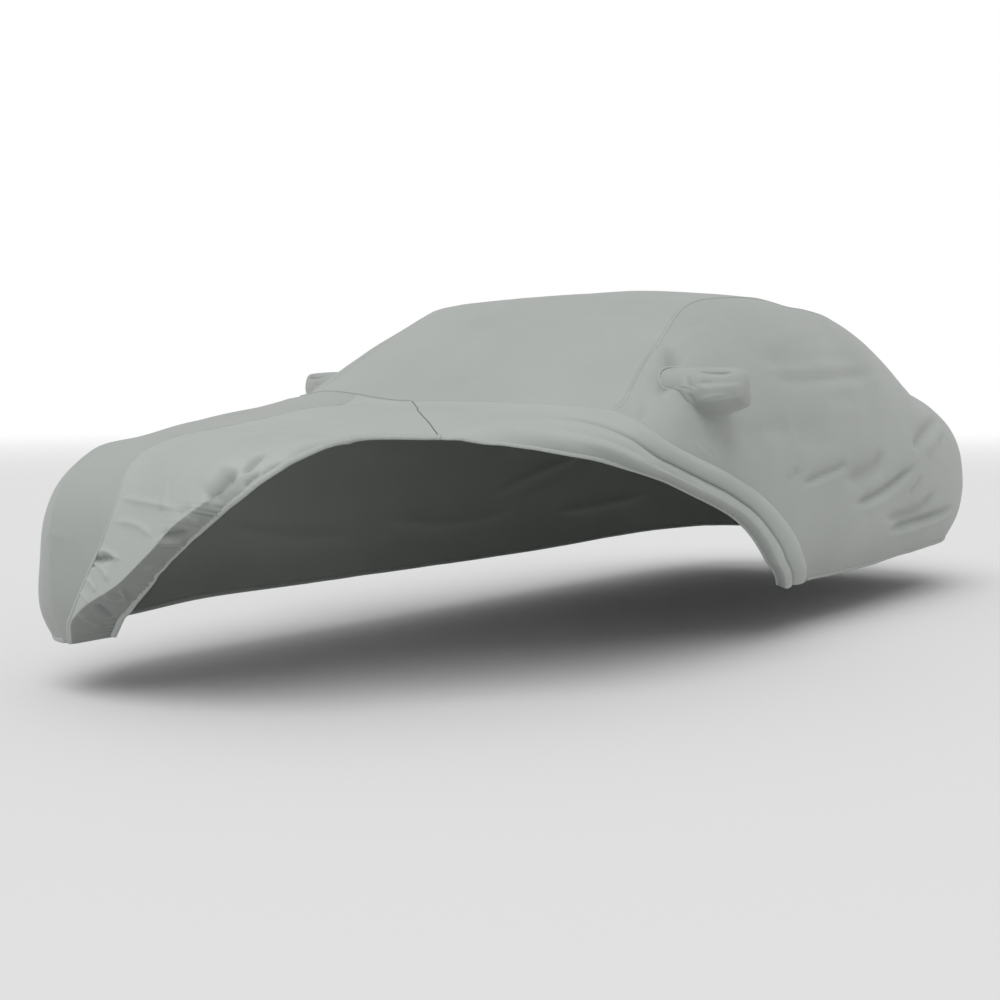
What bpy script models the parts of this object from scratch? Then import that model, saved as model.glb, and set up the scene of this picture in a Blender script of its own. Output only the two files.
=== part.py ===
"""A fitted cloth cover for a long saloon, drawn as it hangs with its left front corner lifted.

The tables give places in metres: x to the wearer's left, y back from the front wheel's axle,
z up from the ground.  The finished part is moved so that its origin lies under the roof cloth,
at the point that holds it up; its nose faces -Y and its left side faces +X.
"""
import math

import bmesh
import bpy
import numpy as np
from mathutils import Vector
from mathutils.bvhtree import BVHTree

CLOTH = 0.0015             # thickness of the coated cloth
SEAM_GAP = 0.0009          # space left between two panels along their seam
POCKET_CLEAR = 0.0005      # space between a pocket's mouth and the hole it is sewn into
ON_RIGHT = np.array([-1, 1, 1])
HOLD_Y = 2.10              # where the roof carries the cover, back from the front axle
HOLD_Z = 1.50              # height of the underside of the roof cloth there
NOSE_Y = -0.885            # foremost and rearmost reach of the cloth
TAIL_Y = 4.43
CROWN = 2.3                # how square the middle cloth is across, 2 being a parabola

# The middle line of the cloth from the hood's lip to the deck's lip, and the edge of the
# top beside it, where the roof panel's long seams run.
TOP = (
    # name          mid_y   mid_z   edge_x  edge_y  edge_z
    ("hood lip",    -0.775, 0.822,  0.60,  -0.660,  0.812),
    ("hood front",  -0.480, 0.908,  0.68,  -0.390,  0.872),
    ("hood middle", -0.130, 0.957,  0.725, -0.055,  0.922),
    ("hood back",    0.240, 0.986,  0.740,  0.320,  0.953),
    ("cowl",         0.500, 1.006,  0.745,  0.625,  0.972),
    ("screen low",   0.800, 1.175,  0.700,  0.880,  1.100),
    ("screen high",  1.150, 1.345,  0.640,  1.180,  1.260),
    ("header",       1.480, 1.450,  0.590,  1.440,  1.385),
    ("roof front",   1.780, 1.490,  0.570,  1.720,  1.440),
    ("roof top",     2.150, 1.503,  0.565,  2.100,  1.462),
    ("roof back",    2.560, 1.480,  0.565,  2.520,  1.440),
    ("back header",  2.930, 1.440,  0.575,  2.920,  1.410),
    ("back screen",  3.300, 1.335,  0.590,  3.320,  1.285),
    ("deck front",   3.660, 1.190,  0.605,  3.680,  1.105),
    ("deck",         3.980, 1.115,  0.605,  3.960,  1.035),
    ("deck lip",     4.230, 1.045,  0.525,  4.150,  0.985),
)

# Upright lines of the side, each from its place on the top's edge (a row number of TOP) over
# the shoulder to the flank, its widest point, and down past the sill to the hem. "in" is how
# far a line's point lies inside the flank.
SIDE = (
    # name              edge  flank_x flank_y flank_z  sh_in sh_z   sill_in sill_z  hem_in hem_z
    ("nose seam",       0.00, 0.570, -0.838, 0.480,   0.035, 0.690,  0.008, 0.290,  0.045, 0.185),
    ("front corner",    0.30, 0.753, -0.736, 0.450,   0.063, 0.710,  0.000, 0.270,  0.045, 0.180),
    ("headlight",       0.65, 0.885, -0.510, 0.480,   0.060, 0.735,  0.003, 0.290,  0.060, 0.188),
    ("front fender",    1.20, 0.940, -0.220, 0.520,   0.050, 0.770,  0.008, 0.320,  0.085, 0.200),
    ("front wheel",     2.10, 0.955,  0.080, 0.560,   0.030, 0.810,  0.010, 0.350,  0.085, 0.215),
    ("fender back",     3.10, 0.955,  0.380, 0.570,   0.025, 0.850,  0.012, 0.350,  0.085, 0.220),
    ("cowl",            4.00, 0.955,  0.660, 0.590,   0.030, 0.880,  0.015, 0.350,  0.090, 0.220),
    ("door front",      5.00, 0.955,  0.930, 0.600,   0.035, 0.900,  0.018, 0.350,  0.090, 0.220),
    ("mirror",          6.00, 0.955,  1.200, 0.610,   0.040, 0.915,  0.020, 0.350,  0.090, 0.220),
    ("door middle",     7.00, 0.955,  1.470, 0.620,   0.045, 0.925,  0.020, 0.350,  0.090, 0.220),
    ("pillar",          8.00, 0.955,  1.780, 0.620,   0.045, 0.935,  0.020, 0.350,  0.090, 0.220),
    ("rear door front", 9.00, 0.955,  2.150, 0.630,   0.045, 0.945,  0.020, 0.350,  0.090, 0.220),
    ("rear door",      10.00, 0.955,  2.560, 0.640,   0.050, 0.950,  0.020, 0.350,  0.090, 0.225),
    ("wheel front",    11.00, 0.950,  2.930, 0.640,   0.055, 0.945,  0.020, 0.370,  0.090, 0.232),
    ("rear wheel",     12.00, 0.945,  3.300, 0.630,   0.060, 0.925,  0.020, 0.380,  0.095, 0.242),
    ("rear quarter",   13.00, 0.934,  3.660, 0.620,   0.075, 0.895,  0.022, 0.385,  0.095, 0.248),
    ("rear corner",    14.00, 0.893,  4.003, 0.610,   0.082, 0.875,  0.025, 0.385,  0.095, 0.250),
    ("tail corner",    14.55, 0.776,  4.272, 0.610,   0.078, 0.865,  0.025, 0.385,  0.090, 0.252),
    ("tail seam",      15.00, 0.560,  4.395, 0.610,   0.070, 0.860,  0.025, 0.385,  0.085, 0.252),
)
END_REACH = 1.5            # stations over which the side eases into the nose and tail seams

# The cloth stands off in a tent between the mirror, the pillars and the roof: how far, by
# station of SIDE, which way, and how far down it reaches.
TENT = ((6.2, 7.0, 7.7, 8.5, 9.5, 11.0, 13.0, 15.0),
        (0.0, 0.035, 0.055, 0.050, 0.035, 0.022, 0.010, 0.0))
TENT_WAY = np.array([0.78, -0.12, 0.61])
TENT_FOOT = 1.15

# On the right the cloth is pulled up over the pillar's foot: how far, by distance back.
SWELL = ((0.00, 0.35, 0.55, 0.75, 0.95, 1.15, 1.35, 1.60, 2.00),
         (0.0, 0.032, 0.058, 0.054, 0.052, 0.061, 0.057, 0.024, 0.0))
SWELL_WAY = np.array([-0.25, -0.25, 0.93])

RAIL, SHOULDER, FLANK, SILL, HEM = range(5)    # the w value of each line down a side
COWL_ROW = 4.0                                 # the cowl's row in TOP
TAIL_ROW = float(len(TOP) - 1)                 # the deck lip's row in TOP
COWL_STATION = 6.0                             # the cowl's row in SIDE
TAIL_STATION = float(len(SIDE) - 1)

top = np.array([row[1:] for row in TOP])
side = np.array([row[1:] for row in SIDE])


# ---------------------------------------------------------------- smooth curves
def spline_matrix(knots):
    """The matrix that turns a natural cubic spline's points into its second derivatives."""
    step = np.diff(knots)
    count = len(knots)
    left = np.eye(count)
    right = np.zeros((count, count))
    for i in range(1, count - 1):
        left[i, i - 1:i + 2] = step[i - 1], 2 * (step[i - 1] + step[i]), step[i]
        right[i, i - 1:i + 2] = 6 / step[i - 1], -6 / step[i - 1] - 6 / step[i], 6 / step[i]
    return np.linalg.solve(left, right)


def spline_weights(knots, places):
    """How much each point of the spline counts at each place, a row for each place."""
    knots = np.asarray(knots, float)
    places = np.asarray(places, float).ravel()
    bend = spline_matrix(knots)
    span = np.clip(np.searchsorted(knots, places, side="right") - 1, 0, len(knots) - 2)
    step = (knots[span + 1] - knots[span])[:, None]
    before = (places - knots[span])[:, None]
    after = step - before
    eye = np.eye(len(knots))
    return (bend[span] * (after ** 3 / step - after * step) / 6
            + bend[span + 1] * (before ** 3 / step - before * step) / 6
            + eye[span] * after / step + eye[span + 1] * before / step)


def spline(points, places, knots=None):
    """Points of the smooth curve through the given points, numbered 0, 1, 2 unless knots say."""
    points = np.asarray(points, float)
    knots = np.arange(len(points)) if knots is None else knots
    return spline_weights(knots, places) @ points


def smooth(x):
    """0 below 0, 1 above 1, and an easy step between them."""
    x = np.clip(x, 0.0, 1.0)
    return x * x * (3 - 2 * x)


# ---------------------------------------------------------------- the form that the cloth follows
def plan_normals(flank):
    """The outward direction in plan at each upright line of the side."""
    ends = np.vstack([[0, NOSE_Y], flank, [0, TAIL_Y]])
    along = np.gradient(ends, axis=0)[1:-1]
    out = np.stack([along[:, 1], -along[:, 0]], 1)
    return out / np.linalg.norm(out, axis=1)[:, None]


def side_net():
    """The points of the side's upright lines, (line, place down the line, xyz)."""
    net = np.zeros((len(side), 5, 3))
    net[:, RAIL] = spline(top[:, 2:], side[:, 0])
    net[:, FLANK] = side[:, 1:4]
    out = plan_normals(side[:, 1:3])
    for line, column in ((SHOULDER, 4), (SILL, 6), (HEM, 8)):
        net[:, line, :2] = side[:, 1:3] - out * side[:, column:column + 1]
        net[:, line, 2] = side[:, column + 1]
    return net


def top_rows(across):
    """The control rows of the middle cloth, from the nose hem over the top to the tail hem."""
    across = np.asarray(across, float)[:, None]
    size = np.abs(across)
    middle = np.stack([top[:, 0] + (top[:, 3] - top[:, 0]) * size ** 2,
                       top[:, 1] + (top[:, 4] - top[:, 1]) * size ** CROWN], -1)
    rows = np.concatenate([across[..., None] * top[None, :, 2:3], middle], -1)
    ends = []
    for station, reach, sign in ((0, NOSE_Y, 1), (-1, TAIL_Y, -1)):
        corner = net[station, SHOULDER:]
        depth = reach + sign * np.array([side[station, 4], 0, side[station, 6], side[station, 8]])
        end = np.stack([across * corner[:, 0],
                        depth + (corner[:, 1] - depth) * size ** 2,
                        np.broadcast_to(corner[:, 2], (len(across), 4))], -1)
        ends.append(end)
    return np.concatenate([ends[0][:, ::-1], rows, ends[1]], 1)


net = side_net()
MIDDLE = top_rows([0.0])[0]
MIDDLE_KNOTS = np.concatenate([[0], np.cumsum(np.linalg.norm(np.diff(MIDDLE, axis=0), axis=1) ** 0.8)])
ROW_NUMBERS = np.arange(-4, len(TOP) + 4)


def swell_right(points):
    """Lifts the cloth over the right pillar; the points have the cover's right at negative x."""
    share = smooth((-points[..., 0] - 0.10) / 0.50) * smooth((points[..., 2] - 0.86) / 0.12)
    height = np.interp(points[..., 1], *SWELL) * share
    return points + height[..., None] * SWELL_WAY


def middle_cloth(row, across):
    """Points of the middle cloth: row -4 is the nose hem, 0 the hood lip, across runs -1 to 1."""
    row = np.asarray(row, float).ravel()
    across = np.asarray(across, float).ravel()
    weights = spline_weights(MIDDLE_KNOTS, np.interp(row, ROW_NUMBERS, MIDDLE_KNOTS))
    return swell_right(np.einsum("nr,nrk->nk", weights, top_rows(across)))


def row_of(station):
    """The row of TOP beside a station of the side."""
    return np.interp(station, np.arange(len(SIDE)), side[:, 0])


def upright_points(station, down):
    """Points of the left side, each on the smooth upright line through its station."""
    row = row_of(station)
    lines = spline_weights(np.arange(len(SIDE)), station)
    points = np.einsum("ns,slk->nlk", lines, net)
    points[:, RAIL] = middle_cloth(row, np.ones(len(row)))
    inner = middle_cloth(row, np.full(len(row), 0.8))
    points = np.concatenate([inner[:, None], points], 1)
    steps = np.linalg.norm(np.diff(points, axis=1), axis=2) ** 0.75
    knots = np.concatenate([np.zeros((len(row), 1)), np.cumsum(steps, 1)], 1)
    result = np.zeros((len(row), 3))
    for i in range(len(row)):
        place = np.interp(down[i], range(5), knots[i, 1:])
        result[i] = spline(points[i], [place], knots[i])[0]
    return result


def side_cloth(station, down):
    """Points of the left side: station is a row of SIDE, down runs from the rail, 0, to the
    hem, 4, and below 0 it goes on over the top, -1 being the middle line."""
    station = np.asarray(station, float).ravel()
    down = np.asarray(down, float).ravel()
    result = middle_cloth(row_of(station), 1 + np.minimum(down, 0))
    below = down > 0
    result[below] = upright_points(station[below], down[below])
    for end, first_row in ((0.0, 0.0), (TAIL_STATION, TAIL_ROW)):
        near = below & (np.abs(station - end) < END_REACH)
        if near.any():
            sign = -1 if end == 0 else 1
            seam = middle_cloth(first_row + sign * down[near], np.ones(near.sum()))
            own = upright_points(np.full(near.sum(), end), down[near])
            share = 1 - smooth(np.abs(station[near] - end) / END_REACH)
            result[near] += (seam - own) * share[:, None]
    stand_off = np.interp(station, *TENT) * np.sin(np.pi * np.clip(down / TENT_FOOT, 0, 1)) ** 1.3
    return result + stand_off[:, None] * TENT_WAY


def grid_normals(points):
    """The outward normal at each point of a grid that runs back and then left or down."""
    normal = np.cross(np.gradient(points, axis=1), np.gradient(points, axis=0))
    return normal / np.linalg.norm(normal, axis=2)[..., None]


# ---------------------------------------------------------------- seams and hems
# The hood panel's right seam, across the middle cloth by row of TOP from the nose hem, -4,
# to the cowl, 4.
HOOD_SEAM = (
    # row    across
    (-4.00, -0.945),
    (-3.60, -0.910),
    (-3.10, -0.840),
    (-2.66, -0.720),
    (-2.30, -0.630),
    (-1.90, -0.530),
    (-1.40, -0.440),
    (-0.80, -0.400),
    ( 0.00, -0.385),
    ( 0.80, -0.240),
    ( 1.60, -0.250),
    ( 2.40, -0.300),
    ( 3.20, -0.390),
    ( 4.00, -0.500),
)

# The lifted hem, likewise, up to the place where the short seam on the hood meets it.
LIFTED_HEM = (
    # row    across
    (-4.00, -0.662),
    (-3.56, -0.574),
    (-3.02, -0.474),
    (-2.66, -0.361),
    (-2.37, -0.255),
    (-2.00, -0.110),
    (-1.69,  0.047),
    (-1.39,  0.213),
    (-1.04,  0.400),
    (-0.56,  0.570),
    ( 0.00,  0.655),
    ( 0.62,  0.690),
    ( 1.05,  0.770),
    ( 1.30,  0.960),
)
HEM_MEETS_SEAM = 1.30      # the row where the short seam starts, at the lifted hem
COWL_SEAMS = (-0.50, -0.11)  # where the hood's two seams meet the cowl seam, across

# The ridge beside the lifted hem, likewise, where the cloth turns in behind the nose; how deep
# the hem lies behind it, by row; and how sharp the turn is, as a share of the tucked band.
TUCK_RIDGE = (
    # row    across
    (-4.00, -0.935),
    (-3.56, -0.887),
    (-3.02, -0.790),
    (-2.66, -0.590),
    (-2.37, -0.370),
    (-2.00, -0.175),
    (-1.69, -0.030),
    (-1.39,  0.085),
    (-1.04,  0.270),
    (-0.56,  0.440),
    ( 0.00,  0.545),
    ( 1.30,  0.800),
)
TUCK_DEPTH = ((-4.0, -3.0, -2.3, -1.7, -1.4, -1.0, -0.5, 0.5, 1.3),
              (0.085, 0.100, 0.100, 0.086, 0.070, 0.044, 0.022, 0.010, 0.0))
TUCK_TURN = 0.12
ROLL_CREASE = 0.46         # where the crease between the two rolls lies across the bunched cloth

# The bunched cloth on the left fender, a row for each section from the short seam back to
# the sill: where it meets the cowl seam or the side panel, where its hem lies, and how high
# its upper and lower rolls stand there.
FENDER = (
    # edge_st  edge_down  hem_st  hem_down  upper   lower
    (6.00,    -1.11,      3.11,  -0.04,     0.000,  0.004),
    (6.00,    -0.55,      3.52,   0.30,     0.000,  0.006),
    (6.00,     0.00,      3.90,   0.72,     0.012,  0.012),
    (5.78,     0.62,      4.69,   1.19,     0.026,  0.020),
    (6.38,     1.24,      5.60,   1.50,     0.030,  0.024),
    (7.45,     1.53,      6.82,   1.83,     0.030,  0.026),
    (8.48,     1.84,      7.85,   2.15,     0.028,  0.026),
    (9.55,     2.36,      8.90,   2.72,     0.024,  0.024),
    (10.35,    3.12,      9.65,   3.42,     0.018,  0.020),
    (10.80,    4.00,     10.05,   4.00,     0.012,  0.016),
)

# Creases and ridges, as lines through three places each, with how far the cloth stands out
# (or sinks, below 0) there and half the width of the fold.
FOLDS = (
    # panel   name                 x1     y1     z1      x2     y2     z2      x3     y3     z3      height  width
    ("hood",  "nose trough",       0.19, -0.86,  0.66,   0.22, -0.81,  0.76,   0.25, -0.75,  0.82,  -0.030, 0.045),
    ("hood",  "nose ridge",        0.09, -0.87,  0.62,   0.13, -0.85,  0.71,   0.17, -0.78,  0.81,   0.014, 0.060),
    ("hood",  "hood trough",       0.39, -0.65,  0.85,   0.42, -0.49,  0.88,   0.51, -0.33,  0.90,  -0.012, 0.040),
    ("side",  "pillar crease",     0.70,  1.14,  1.24,   0.77,  0.97,  1.11,   0.83,  0.83,  1.01,  -0.022, 0.045),
    ("side",  "mirror fold",       0.70,  1.36,  1.30,   0.74,  1.25,  1.24,   0.77,  1.12,  1.16,   0.014, 0.045),
    ("side",  "window wrinkle",    0.84,  1.55,  1.17,   0.80,  2.40,  1.20,   0.73,  3.20,  1.21,  -0.007, 0.050),
    ("side",  "door wrinkle",      0.87,  1.55,  1.10,   0.87,  2.10,  1.10,   0.82,  3.00,  1.13,  -0.010, 0.050),
    ("side",  "sill crease",       0.96,  1.85,  0.64,   0.96,  2.10,  0.69,   0.96,  2.35,  0.72,  -0.012, 0.045),
    ("side",  "wheel crease",      0.96,  2.33,  0.53,   0.96,  2.75,  0.63,   0.96,  3.14,  0.72,  -0.020, 0.050),
    ("side",  "steep crease",      0.96,  2.50,  0.58,   0.96,  2.64,  0.68,   0.95,  2.76,  0.79,  -0.014, 0.045),
    ("side",  "quarter crease",    0.95,  3.07,  0.74,   0.95,  3.28,  0.82,   0.92,  3.50,  0.91,  -0.018, 0.050),
    ("side",  "short crease",      0.96,  3.00,  0.53,   0.96,  3.13,  0.57,   0.96,  3.28,  0.62,  -0.012, 0.040),
    ("side",  "hem crease",        0.95,  2.70,  0.43,   0.95,  3.20,  0.44,   0.93,  3.79,  0.46,  -0.018, 0.040),
)
FOLD_FADE = 0.25           # the share of a fold's length over which each end dies away


def fold_heights(points, panel, scale=1.0):
    """How far the named folds of a panel lift each of its points off the form."""
    flat = points.reshape(-1, 3)
    height = np.zeros(len(flat))
    for fold in FOLDS:
        if fold[0] != panel:
            continue
        path = spline(np.reshape(fold[2:11], (3, 3)), np.linspace(0, 2, 25))
        away = np.linalg.norm(flat[:, None] - path[None], axis=2)
        nearest = away.argmin(1)
        along = nearest / (len(path) - 1)
        ends = smooth(np.minimum(along, 1 - along) / FOLD_FADE + 0.12)
        height += fold[11] * scale * ends * np.exp(-(away.min(1) / fold[12]) ** 2 * 1.6)
    return height.reshape(points.shape[:2])


# ---------------------------------------------------------------- from grids to sheets
DOWN = np.array([0, 0.3, 0.62, 0.9, 1.2, 1.5, 1.84, 2.1, 2.36, 2.6, 2.85, 3.12, 3.4, 3.7, 4.0])
SEAM_STATION = 3 + (HEM_MEETS_SEAM - side[3, 0]) / (side[4, 0] - side[3, 0])
FRONT_STATIONS = np.array([0, 0.35, 0.8, 1.3, 1.9, 2.5, SEAM_STATION, 3.8, 4.5, 5.25, 6.0])
REAR_CELLS = 30            # cells of the side cloth from the cowl to the tail seam


def eased(count, power_in, power_out):
    """Numbers from 0 to 1, closer together at one end or the other."""
    x = np.linspace(0, 1, count)
    return (1 - power_out) * x ** power_in + power_out * (1 - (1 - x) ** 2)


def draw_in(points, *edges):
    """Takes a grid's named edges back by half a seam's gap, so that panels stay apart."""
    moved = points.copy()
    for edge in edges:
        a, b = {"first": (moved[0], moved[1]), "last": (moved[-1], moved[-2]),
                "start": (moved[:, 0], moved[:, 1]), "end": (moved[:, -1], moved[:, -2])}[edge]
        way = b - a
        a += way / np.linalg.norm(way, axis=1)[:, None] * SEAM_GAP / 2
    return moved


def sheet(name, grids, colour, on_right=False):
    """One panel: its grids joined where they meet, given the cloth's thickness inward."""
    bm = bmesh.new()
    for points in grids:
        rows, columns = points.shape[:2]
        made = bmesh.ops.create_grid(bm, x_segments=columns - 1, y_segments=rows - 1, size=1)
        for vert, place in zip(made["verts"], points.reshape(-1, 3)):
            vert.co = place - (0, HOLD_Y, HOLD_Z)
    bmesh.ops.remove_doubles(bm, verts=bm.verts, dist=0.0002)
    if on_right:
        bmesh.ops.reverse_faces(bm, faces=bm.faces)
    return cloth_object(name, bm, colour)


def cloth_object(name, bm, colour):
    """Turns an open surface that faces outward into a named sheet of the cloth."""
    mesh = bpy.data.meshes.new(name)
    bm.to_mesh(mesh)
    bm.free()
    mesh.shade_smooth()
    mesh.materials.append(cloth_material(name, colour))
    obj = bpy.data.objects.new(name, mesh)
    cover.objects.link(obj)
    solid = obj.modifiers.new("cloth thickness", "SOLIDIFY")
    solid.thickness = CLOTH
    solid.offset = -1
    return obj


def cloth_material(name, colour):
    """Matt coated cloth in the given shade."""
    material = bpy.data.materials.new(name)
    material.use_nodes = True
    shader = material.node_tree.nodes["Principled BSDF"]
    shader.inputs["Base Color"].default_value = (*colour, 1)
    shader.inputs["Roughness"].default_value = 0.85
    return material


# ---------------------------------------------------------------- the panels
def hood_edges(row):
    """The hood panel's right and left limits across the middle cloth at each row."""
    seam, hem = np.array(HOOD_SEAM), np.array(LIFTED_HEM)
    right = spline(seam[:, 1:], row, seam[:, 0])[:, 0]
    left = spline(hem[:, 1:], np.minimum(row, HEM_MEETS_SEAM), hem[:, 0])[:, 0]
    short = np.interp(row, (HEM_MEETS_SEAM, COWL_ROW), (0.96, COWL_SEAMS[1]))
    return right, np.where(row < HEM_MEETS_SEAM, left, short)


def ridge_station(down):
    """The station where the left side panel meets the bunched fender cloth, by place down."""
    table = np.array([section[:2] for section in FENDER if section[1] >= 0])
    return spline(table[:, :1], down, table[:, 1])[:, 0]


def grid_of(surface, first, second):
    """Points of a surface at a grid of its two addresses."""
    return surface(first, second).reshape(*first.shape, 3)


for old in list(bpy.data.objects):
    bpy.data.objects.remove(old)
cover = bpy.data.collections.new("car cover")
cutters = bpy.data.collections.new("cutters")
bpy.context.scene.collection.children.link(cover)
bpy.context.scene.collection.children.link(cutters)

front_rows = row_of(FRONT_STATIONS)
rear_share = np.linspace(0, 1, REAR_CELLS + 1)
rear_stations = COWL_STATION + rear_share * (TAIL_STATION - COWL_STATION)
rear_rows = row_of(rear_stations)
hood_share = eased(17, 1.0, 0.45)
hood_back = COWL_SEAMS[0] + (COWL_SEAMS[1] - COWL_SEAMS[0]) * hood_share[::4]
cowl_across = np.concatenate([np.linspace(-1, COWL_SEAMS[0], 5), hood_back[1:],
                              np.linspace(COWL_SEAMS[1], 1, 8)[1:]])
cowl_seam = middle_cloth(np.full(len(cowl_across), COWL_ROW), cowl_across)


def on_chords(known, line, wanted):
    """Points on the straight runs of a seam that is already cut, so that its cloths match."""
    return np.stack([np.interp(wanted, known, line[:, axis]) for axis in range(3)], 1)


def hood_grid():
    """The hood panel's rows, their places across, and its points, from right to left, on the
    form."""
    rows = np.concatenate([-DOWN[:0:-1], front_rows])
    right, left = hood_edges(rows)
    across = right[:, None] + (left - right)[:, None] * hood_share
    points = grid_of(middle_cloth, np.repeat(rows[:, None], len(hood_share), 1), across)
    points[-1] = on_chords(cowl_across, cowl_seam, across[-1])
    return rows, across, points


def make_hood_panel():
    """The nose and the hood, between the right-hand seam and the lifted hem."""
    rows, across, points = hood_grid()
    depth = np.interp(rows, *TUCK_DEPTH)[:, None]
    ridge = np.interp(rows, *np.transpose(TUCK_RIDGE))[:, None]
    inward = np.clip((across - ridge) / (across[:, -1:] - ridge), 0, 1)
    tuck = -depth * (np.hypot(inward, TUCK_TURN) - TUCK_TURN) / (math.hypot(1, TUCK_TURN) - TUCK_TURN)
    points = points + grid_normals(points) * (tuck + fold_heights(points, "hood"))[..., None]
    seam_rows = rows >= HEM_MEETS_SEAM
    seam = draw_in(points, "start", "last", "end")
    points = draw_in(points, "start", "last")
    points[seam_rows, -1] = seam[seam_rows, -1]
    sheet("hood_panel", [points], (0.44, 0.47, 0.43))


def make_roof_panel():
    """The windscreen, roof, rear window, deck and tail in one run of cloth."""
    rows = np.concatenate([rear_rows, TAIL_ROW + DOWN[1:]])
    points = grid_of(middle_cloth, np.repeat(rows[:, None], len(cowl_across), 1),
                     np.repeat(cowl_across[None], len(rows), 0))
    points = draw_in(points, "first", "start", "end")
    return sheet("roof_panel", [points], (0.42, 0.45, 0.41))


def make_side_panel_left():
    """The left side from the windscreen pillar to the tail, behind the bunched fender cloth."""
    first = ridge_station(DOWN)
    stations = first[None] + rear_share[:, None] * (TAIL_STATION - first[None])
    points = grid_of(side_cloth, stations, np.repeat(DOWN[None], len(rear_share), 0))
    points = points + grid_normals(points) * fold_heights(points, "side")[..., None]
    points = draw_in(points, "first", "last", "start")
    return sheet("side_panel_left", [points], (0.40, 0.43, 0.39))


def make_side_panel_right():
    """The right side, which also wraps the front corner and the outer part of the hood."""
    stations = np.concatenate([FRONT_STATIONS, rear_stations[1:]])
    points = grid_of(side_cloth, np.repeat(stations[:, None], len(DOWN), 1),
                     np.repeat(DOWN[None], len(stations), 0)) * ON_RIGHT
    rows = np.concatenate([-DOWN[:0:-1], front_rows])
    right, left = hood_edges(rows)
    share = np.linspace(0, 1, 5)
    across = right[:, None] + (-1 - right)[:, None] * share
    strip = grid_of(middle_cloth, np.repeat(rows[:, None], len(share), 1), across)
    strip[-1] = on_chords(cowl_across, cowl_seam, across[-1])
    strip = draw_in(strip, "start", "last")
    points = draw_in(swell_right(points), "last")
    cowl = len(FRONT_STATIONS) - 1
    points[cowl:] = draw_in(points[cowl:], "start")
    points[:cowl + 1, 0] = strip[len(DOWN) - 1:, -1]
    points[0] = strip[len(DOWN) - 1::-1, -1]
    return sheet("side_panel_right", [points, strip], (0.38, 0.41, 0.38), on_right=True)


def make_fender_panel_left():
    """The lifted cloth on the left fender, bunched in two rolls down to the sill."""
    table = np.array(FENDER)
    along_cowl = cowl_across[cowl_across > COWL_SEAMS[1] - 0.001] - 1
    section = np.interp(np.concatenate([along_cowl, DOWN[1:]]), table[:, 1], range(len(table)))
    shape = spline(table, section)
    shape[:, 1] = np.concatenate([along_cowl, DOWN[1:]])
    side_rows = shape[:, 1] >= 0
    shape[side_rows, 0] = ridge_station(shape[side_rows, 1])
    rows, _, hood = hood_grid()
    seam = hood[rows >= HEM_MEETS_SEAM, -1][::-1]
    seam_share = (rows[rows >= HEM_MEETS_SEAM][::-1] - COWL_ROW) / (HEM_MEETS_SEAM - COWL_ROW)
    share = np.interp(np.linspace(0, len(seam) - 1, 13), range(len(seam)), seam_share)
    stations = shape[:, :1] + (shape[:, 2:3] - shape[:, :1]) * share
    down = shape[:, 1:2] + (shape[:, 3:4] - shape[:, 1:2]) * share
    points = grid_of(side_cloth, stations, down)
    upper = np.sin(np.pi * np.clip(share / ROLL_CREASE, 0, 1)) ** 0.7
    lower = np.sin(np.pi * np.clip((share - ROLL_CREASE) / (1.06 - ROLL_CREASE), 0, 1)) ** 0.7
    height = shape[:, 4:5] * upper + shape[:, 5:6] * lower
    points = points + grid_normals(points) * height[..., None]
    points[0] = on_chords(seam_share, seam, share)
    points[:len(along_cowl), 0] = cowl_seam[-len(along_cowl):]
    points = draw_in(points, "first", "start")
    return sheet("fender_panel_left", [points], (0.46, 0.49, 0.45))


# The mirror's pocket, a ring for each place where its size changes, from the side cloth, 0,
# out to its end, 1: its middle and half its size, how far its underside leans back, and how
# square it is, 2 being an oval.
POCKET = (
    # name     place  mid_y  mid_z  half_y half_z lean   squareness
    ("mouth",  0.00,  1.050, 1.040, 0.165, 0.095, 0.020, 2.4),
    ("neck",   0.35,  1.029, 1.045, 0.121, 0.085, 0.026, 3.0),
    ("body",   0.65,  1.018, 1.051, 0.083, 0.078, 0.032, 3.4),
    ("end",    0.90,  1.016, 1.056, 0.047, 0.067, 0.028, 3.4),
    ("tip",    0.98,  1.022, 1.059, 0.030, 0.052, 0.014, 3.0),
    ("middle", 1.00,  1.022, 1.060, 0.012, 0.022, 0.000, 2.0),
)
POCKET_REACH = 1.092       # how far out from the middle line the pocket's end lies
POCKET_SIDES = 28
POCKET_SEWN_IN = 0.006     # how far the pocket's mouth reaches in past the side cloth
RIGHT_POCKET_BACK = 0.02   # the right-hand pocket is pulled back by this much


def pocket_ring(mid_y, mid_z, half_y, half_z, lean, squareness, grown=0.0):
    """Places around a pocket, a rounded oblong whose lower half leans back."""
    turn = np.linspace(0, 2 * np.pi, POCKET_SIDES, endpoint=False)
    power = 2 / squareness
    y = mid_y + (half_y + grown) * np.sign(np.cos(turn)) * np.abs(np.cos(turn)) ** power
    z = mid_z + (half_z + grown) * np.sign(np.sin(turn)) * np.abs(np.sin(turn)) ** power
    return y + lean * np.clip((mid_z - z) / half_z, 0, 1), z


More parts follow.
